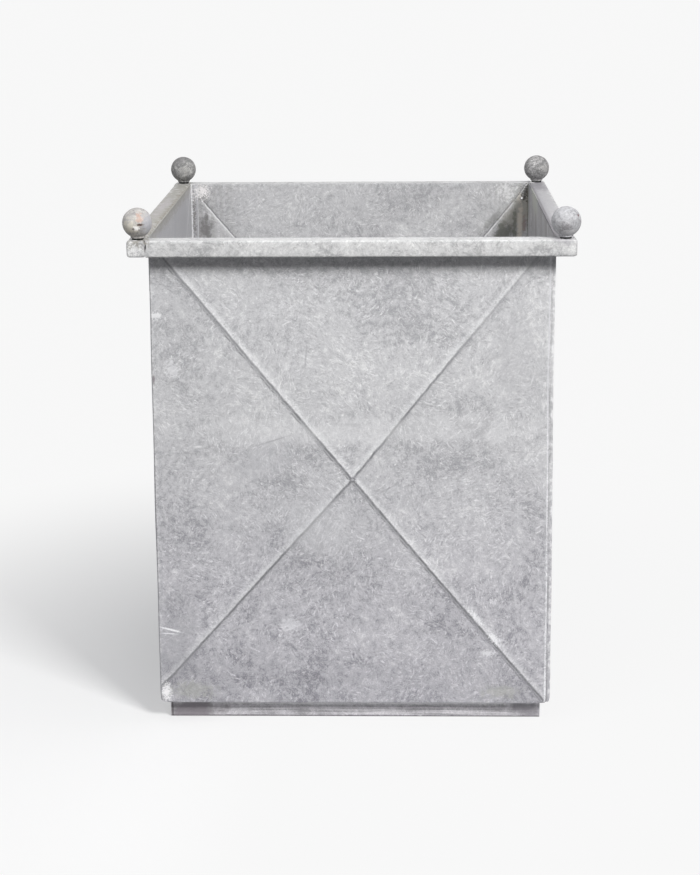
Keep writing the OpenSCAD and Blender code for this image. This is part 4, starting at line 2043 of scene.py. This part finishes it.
WALL_MARKS: dict[Side, tuple[Mark, ...]] = {
    Side.FRONT: (
        # Painted shade: a darker strip just below the rail, deepening the rail's shadow on the wall.
        face_mark(0.0, 0.682, 0.33, 0.0045, (146, 146, 150), 0.35, 0.6, 60.0, deep=0.03),
        face_mark(0.0, 0.438, 0.33, 0.024, (218, 218, 219), 0.35, 1.2, 14.0, deep=0.03),
        face_mark(-0.048, 0.3, 0.07, 0.065, (212, 212, 214), 0.4, 1.2, 24.0, deep=0.03),
        face_mark(-0.256, 0.115, 0.034, 0.09, (150, 150, 154), 0.35, 1.2, 40.0, deep=0.03),
        face_mark(0.232, 0.535, 0.04, 0.07, (168, 168, 171), 0.35, 1.2, 40.0, deep=0.03),
        face_mark(-0.2725, 0.043, 0.008, 0.016, (250, 249, 250), 0.9, 1.3, 420.0),
        face_mark(-0.264, 0.1395, 0.02, 0.002, (248, 248, 250), 0.9, 0.5, 400.0, -0.24),
        face_mark(-0.266, 0.1335, 0.015, 0.0012, (240, 240, 242), 0.75, 0.5, 400.0, -0.06),
        face_mark(-0.2345, 0.047, 0.036, 0.015, (166, 167, 160), 0.5, 1.4, 160.0),
        face_mark(0.213, 0.045, 0.03, 0.011, (172, 173, 165), 0.45, 1.4, 160.0),
        face_mark(-0.092, 0.149, 0.016, 0.012, (228, 228, 231), 0.5, 1.6, 260.0),
        face_mark(0.1763, 0.1588, 0.018, 0.0045, (242, 242, 244), 0.6, 2.0, 420.0, -0.84),
        face_mark(0.2014, 0.1275, 0.015, 0.0055, (244, 244, 246), 0.65, 2.0, 420.0, -0.84),
        face_mark(0.1924, 0.1054, 0.012, 0.006, (238, 238, 240), 0.6, 1.6, 420.0),
        face_mark(-0.2714, 0.5995, 0.009, 0.007, (240, 240, 241), 0.7, 1.4, 420.0, 0.4),
        face_mark(-0.2503, 0.523, 0.012, 0.016, (228, 228, 230), 0.5, 1.6, 300.0, 0.5),
        face_mark(-0.2765, 0.509, 0.0022, 0.009, (120, 112, 116), 0.8, 0.5, 420.0),
        face_mark(-0.064, 0.543, 0.0016, 0.026, (150, 150, 154), 0.5, 0.7, 120.0, -0.1),
        face_mark(-0.117, 0.4205, 0.034, 0.0015, (150, 150, 154), 0.55, 0.6, 120.0, 0.31),
        face_mark(-0.12, 0.395, 0.06, 0.03, (172, 172, 176), 0.4, 0.9, 60.0, 0.31),
    ),
    Side.LEFT: (
        Mark((-0.2785, 0.0, 0.707), (0.003, 0.6, 0.004), srgb(150, 146, 136), 0.6, 0.8, 120.0),
        Mark((-0.2775, 0.0, 0.702), (0.006, 0.6, 0.01), srgb(138, 133, 121), 0.5, 2.6, 170.0, inside=True),
        # Painted highlight: a pale line down the inside bend at the back-left corner.
        Mark(
            (-0.2763, 0.2765, 0.6), (0.0017, 0.005, 0.5), srgb(234, 234, 236), 0.85, 0.5, 200.0, inside=True
        ),
        lining_mark(-0.2728, 0.655, 0.0036, 0.04, (104, 100, 96), 0.6, 2.8, 330.0),
        lining_mark(-0.2625, 0.693, 0.014, 0.013, (236, 233, 233), 0.9, 2.2, 400.0),
    ),
    Side.RIGHT: (
        # Painted shade along the right wall's inner top edge, by the rail.
        Mark((0.2785, 0.0, 0.707), (0.0045, 0.6, 0.006), srgb(124, 121, 126), 0.9, 0.6, 120.0),
        Mark((0.277, 0.15, 0.705), (0.006, 0.08, 0.04), srgb(188, 190, 180), 0.8, 0.9, 60.0, inside=True),
    ),
    Side.BACK: (
        lining_mark(0.243, 0.693, 0.017, 0.014, (228, 228, 228), 0.55, 2.4, 200.0),
        lining_mark(0.256, 0.69, 0.013, 0.012, (140, 140, 139), 0.45, 2.6, 240.0),
        lining_mark(0.2655, 0.664, 0.065, 0.022, (160, 157, 148), 0.75, 0.8, 120.0, 0.88, deep=0.03),
        lining_mark(0.264, 0.64, 0.006, 0.05, (208, 201, 190), 0.85, 1.2, 160.0),
        # Painted shade: a dark smear along the inside crease, on its upper side.
        lining_mark(0.2172, 0.6451, 0.034, 0.0065, (122, 122, 119), 0.55, 1.2, 120.0, 0.88),
        lining_mark(0.237, 0.62, 0.02, 0.032, (98, 100, 92), 0.75, 1.0, 110.0),
        lining_mark(0.2549, 0.636, 0.0042, 0.046, (96, 99, 88), 0.65, 1.1, 160.0),
        lining_mark(0.2705, 0.638, 0.0045, 0.024, (128, 104, 98), 0.55, 1.8, 160.0),
        lining_mark(0.2745, 0.6915, 0.0085, 0.013, (66, 62, 57), 0.75, 2.2, 380.0),
        lining_mark(0.2701, 0.684, 0.0075, 0.007, (66, 62, 57), 0.7, 2.4, 380.0),
        lining_mark(0.2768, 0.655, 0.0016, 0.05, (60, 57, 51), 0.8, 0.8, 300.0),
        Mark((0.277, 0.27, 0.66), (0.004, 0.009, 0.09), srgb(142, 145, 134), 0.7, 0.8, 160.0, inside=True),
        lining_mark(-0.26, 0.69, 0.016, 0.015, (112, 110, 108), 0.5, 2.6, 380.0),
        lining_mark(-0.26, 0.6945, 0.013, 0.013, (236, 233, 233), 0.9, 2.2, 400.0),
        lining_mark(-0.256, 0.634, 0.014, 0.026, (104, 102, 102), 0.75, 1.2, 90.0),
    ),
}


def wall_finish(side: Side) -> WallFinish:
    """The finish of one wall, with its own patina and marks.

    Args:
        side: The wall's side.

    Returns:
        The finish.
    """
    across = side in (Side.LEFT, Side.RIGHT)
    return WallFinish(
        name=f"zinc_{side.word}_wall",
        dark=srgb(155, 155, 158),
        middle=srgb(189, 189, 191),
        pale=srgb(213, 213, 213),
        shade=srgb(147, 147, 151),
        bloom=srgb(231, 231, 232),
        side=side,
        shift=(0.31 * side.value, 0.17 * side.value, 0.07 * side.value),
        inside={
            Side.RIGHT: srgb(143, 138, 138),
            Side.LEFT: srgb(175, 175, 179),
        }.get(side, srgb(146, 145, 144)),
        inside_haze={Side.RIGHT: 0.0, Side.LEFT: 0.45}.get(side, 0.05),
        inside_streaks=0.6 if side is Side.BACK else 0.95,
        corner_from=-0.6 if across else 0.15,
        streak={Side.RIGHT: (60.0, 60.0, 3.0), Side.LEFT: (40.0, 40.0, 3.0)}.get(side, (190.0, 190.0, 5.0)),
        top_wear=0.2 if across else 1.0,
        fading_arm=0.8 if side is Side.FRONT else 0.0,
        marks=WALL_MARKS[side],
    )


BALL_TONES: dict[Side, tuple[Colour, Colour, Colour]] = {
    Side.FRONT: (srgb(140, 140, 143), srgb(178, 178, 181), srgb(210, 210, 212)),
    Side.RIGHT: (srgb(100, 100, 100), srgb(142, 141, 141), srgb(200, 199, 198)),
    Side.BACK: (srgb(98, 98, 98), srgb(138, 137, 136), srgb(196, 195, 193)),
    Side.LEFT: (srgb(140, 137, 136), srgb(178, 175, 172), srgb(214, 211, 207)),
}

BALL_MARKS: dict[Side, tuple[Mark, ...]] = {
    Side.LEFT: (
        Mark((-0.2983, -0.3069, 0.7255), (0.014, 0.012, 0.014), srgb(226, 219, 202), 0.6, 1.3, 200.0),
        Mark((-0.274, -0.301, 0.73), (0.01, 0.014, 0.02), srgb(166, 167, 175), 0.7, 1.3, 240.0),
        Mark((-0.2851, -0.3073, 0.7384), (0.0054, 0.008, 0.008), srgb(190, 157, 140), 0.65, 1.8, 300.0),
        Mark((-0.2899, -0.3104, 0.7251), (0.0058, 0.006, 0.0038), srgb(252, 249, 246), 0.95, 1.1, 400.0),
        Mark((-0.284, -0.3104, 0.7299), (0.007, 0.006, 0.0021), srgb(70, 52, 47), 0.95, 0.8, 400.0, 0.05),
        Mark((-0.2935, -0.309, 0.724), (0.0024, 0.006, 0.0022), srgb(96, 84, 80), 0.85, 0.8, 400.0),
    ),
    Side.FRONT: (
        Mark((0.2882, -0.3101, 0.7251), (0.0095, 0.008, 0.008), srgb(118, 114, 116), 0.6, 2.2, 330.0),
        # Painted light: a pale patch on the lower front of the ball, lifting its shaded underside.
        Mark((0.292, -0.304, 0.7165), (0.017, 0.014, 0.0055), srgb(222, 220, 221), 0.6, 1.2, 240.0),
        Mark((0.3056, -0.2997, 0.7393), (0.0022, 0.003, 0.0022), srgb(92, 64, 64), 0.95, 0.5, 500.0),
        Mark((0.3091, -0.298, 0.7309), (0.0014, 0.006, 0.006), srgb(118, 116, 118), 0.7, 0.8, 400.0, 0.7),
    ),
    Side.RIGHT: (
        Mark((0.3013, 0.2731, 0.7309), (0.0065, 0.007, 0.0075), srgb(206, 204, 202), 0.4, 2.4, 380.0),
    ),
    Side.BACK: (
        Mark((-0.299, 0.2803, 0.7451), (0.013, 0.013, 0.011), srgb(112, 111, 112), 0.6, 1.0, 220.0),
        Mark((-0.2857, 0.2705, 0.729), (0.0085, 0.009, 0.0085), srgb(196, 194, 190), 0.35, 2.4, 380.0),
    ),
}


def ball_finish(side: Side) -> ZincFinish:
    """The finish of one ball, darker or paler as it has weathered.

    Args:
        side: The side at whose right end the ball stands.

    Returns:
        The finish.
    """
    dark, middle, pale = BALL_TONES[side]
    far = side in (Side.RIGHT, Side.BACK)
    return ZincFinish(
        f"zinc_finial_{side.corner}", dark, middle, pale, srgb(104, 103, 104), srgb(226, 226, 226),
        side=side, wipes=0.5 if far else 0.35, dark_wipes=0.6 if far else 0.45, clouds=0.5 if far else 0.35,
        blotches=0.9 if far else 0.6, cloud_scale=38.0, blotch_scale=240.0 if far else 190.0,
        patch=85.0, wipe_width=600.0, wipe_length=110.0, roughness=0.75, grain=0.7,
        shift=(0.2 + 0.3 * side.value, 0.6, 0.1), marks=BALL_MARKS[side],
    )


def main() -> None:
    """Builds the planter's dressed pieces in order and sets up the studio."""
    logging.basicConfig(level=logging.INFO, format="%(name)s: %(message)s")
    sizes = PlanterSizes.from_frame()
    hand = HandWork(sizes)
    Studio().build()
    groups = {
        "strokes": strokes_group(),
        "clouds": cloud_group(),
        "spot": spot_group(),
        "runs": runs_group(),
    }
    for side in Side:
        wall = Wall(sizes, side, hand)
        if side is Side.BACK:
            wall.drops = (4.0 * MM, 13.0 * MM, 3.0 * MM)
            wall.vent = (sizes.wall_left + 11.5 * MM, sizes.rail_bottom - 2.0 * MM)
        wall.build(wall_finish(side).build(groups))

    rim = Rim(sizes, tube_tree())
    rim_finish = ZincFinish(
        "zinc_rim", srgb(157, 157, 158), srgb(195, 195, 195), srgb(216, 216, 215), srgb(139, 139, 142),
        srgb(230, 230, 229), wipes=0.6, dark_wipes=0.55, clouds=0.6, blotches=0.6, grain=0.6,
        cloud_scale=15.0, blotch_scale=130.0, patch=55.0, wipe_length=85.0, roughness=0.55,
        shift=(0.9, 0.4, 0.2),
        marks=(
            Mark((-0.2915, 0.02, 0.707), (0.017, 0.6, 0.012), srgb(134, 130, 121), 0.75, 1.6, 110.0),
            Mark((-0.293, 0.02, 0.707), (0.008, 0.11, 0.01), srgb(176, 170, 175), 0.5, 1.6, 90.0),
            Mark((-0.2803, 0.02, 0.707), (0.0055, 0.42, 0.006), srgb(126, 120, 108), 0.7, 2.6, 170.0),
            # Painted shade along the right rail's inner top edge.
            Mark((0.28, 0.0, 0.707), (0.008, 0.6, 0.008), srgb(150, 147, 152), 0.7, 0.6, 80.0),
            Mark((0.2915, 0.02, 0.707), (0.017, 0.6, 0.012), srgb(152, 150, 155), 0.6, 1.6, 110.0),
            Mark((0.2915, 0.235, 0.707), (0.018, 0.06, 0.012), srgb(132, 129, 135), 0.6, 1.4, 110.0),
            Mark((0.3047, -0.305, 0.6955), (0.0011, 0.01, 0.0125), srgb(150, 149, 152), 0.7, 0.5, 400.0),
            Mark((-0.2785, -0.305, 0.6987), (0.0013, 0.01, 0.005), srgb(52, 50, 52), 0.95, 0.4, 500.0),
            Mark((-0.295, -0.305, 0.6945), (0.011, 0.01, 0.01), srgb(240, 240, 239), 0.6, 2.2, 330.0),
            Mark((-0.2927, -0.299, 0.707), (0.0035, 0.003, 0.003), srgb(252, 252, 250), 0.9, 0.6, 500.0),
            Mark((0.2838, 0.288, 0.707), (0.005, 0.016, 0.003), srgb(252, 252, 250), 0.95, 0.6, 500.0),
        ),
    ).build(groups)
    fillet = fillet_tree()
    for side in Side:
        rim.rail(side, rim_finish)
        rim.cap(side, rim_finish)
        rim.weld(side, fillet, rim_finish)

    for side in Side:
        Finial(sizes, side).build(ball_finish(side).build(groups))

    # Near-black washers: black rubber, darkened further as painted shade for the gap under each collar.
    rubber = PlainFinish("black_rubber", srgb(14, 14, 15), srgb(28, 28, 29), 0.8, 0.0).build()
    Seals(sizes).build(rubber)

    solder = ZincFinish(
        "bright_solder", srgb(176, 176, 180), srgb(222, 222, 225), srgb(248, 248, 250),
        srgb(168, 168, 173), srgb(252, 252, 253), blotch_scale=160.0, roughness=0.5, metallic=0.15,
        marks=(Mark((0.0, 0.0, 0.80), (1.0, 1.0, 0.56), srgb(196, 196, 199), 0.85, 0.5, 60.0),),
    ).build(groups)
    for side in Side:
        Seam(sizes, side, hand, fillet).build(solder)

    plated = PlainFinish("plated_steel", srgb(170, 171, 173), srgb(205, 206, 208), 0.32, 0.9, 700.0).build()
    Studs(sizes).build(plated)
    paint(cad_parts["captive_nuts"], plated)

    plinth_finish = ZincFinish(
        "zinc_plinth", srgb(152, 150, 154), srgb(197, 195, 199), srgb(228, 226, 229),
        srgb(144, 142, 146), srgb(238, 237, 239), wipes=0.3, dark_wipes=0.3, blotches=0.4, cloud_scale=12.0,
        blotch_scale=60.0, streak=(8.0, 8.0, 300.0), streak_amount=0.8, roughness=0.5,
        marks=(
            # Painted light: a pale band along the plinth's top, against the shadow that the wall's overhang
            # casts there.
            Mark((0.0, 0.0, 0.026), (1.0, 1.0, 0.009), srgb(255, 254, 255), 0.95, 0.4, 150.0),
            # Painted contact shadow: a dark line along the plinth's foot.
            Mark((0.0, 0.0, 0.0003), (1.0, 1.0, 0.0028), srgb(92, 88, 92), 0.85, 0.5, 150.0),
            Mark((-0.236, -0.27, 0.0135), (0.042, 0.02, 0.03), srgb(130, 124, 129), 0.85, 1.6, 28.0),
            Mark((-0.2665, -0.27, 0.0135), (0.0016, 0.02, 0.03), srgb(70, 66, 68), 0.8, 0.4, 300.0),
            Mark((0.246, -0.27, 0.0135), (0.034, 0.02, 0.022), srgb(136, 133, 139), 0.7, 1.4, 40.0),
        ),
    ).build(groups)
    for side in Side:
        PlinthSide(sizes, side).build(plinth_finish)

    pan_finish = ZincFinish(
        "zinc_floor_pan", srgb(140, 140, 142), srgb(168, 168, 170), srgb(196, 196, 198),
        srgb(120, 120, 122), srgb(214, 214, 215), clouds=0.5, blotches=0.5, roughness=0.5,
        shift=(0.5, 0.1, 0.8),
    ).build(groups)
    paint(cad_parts["floor_pan"], pan_finish)


if __name__ == "__main__":
    main()
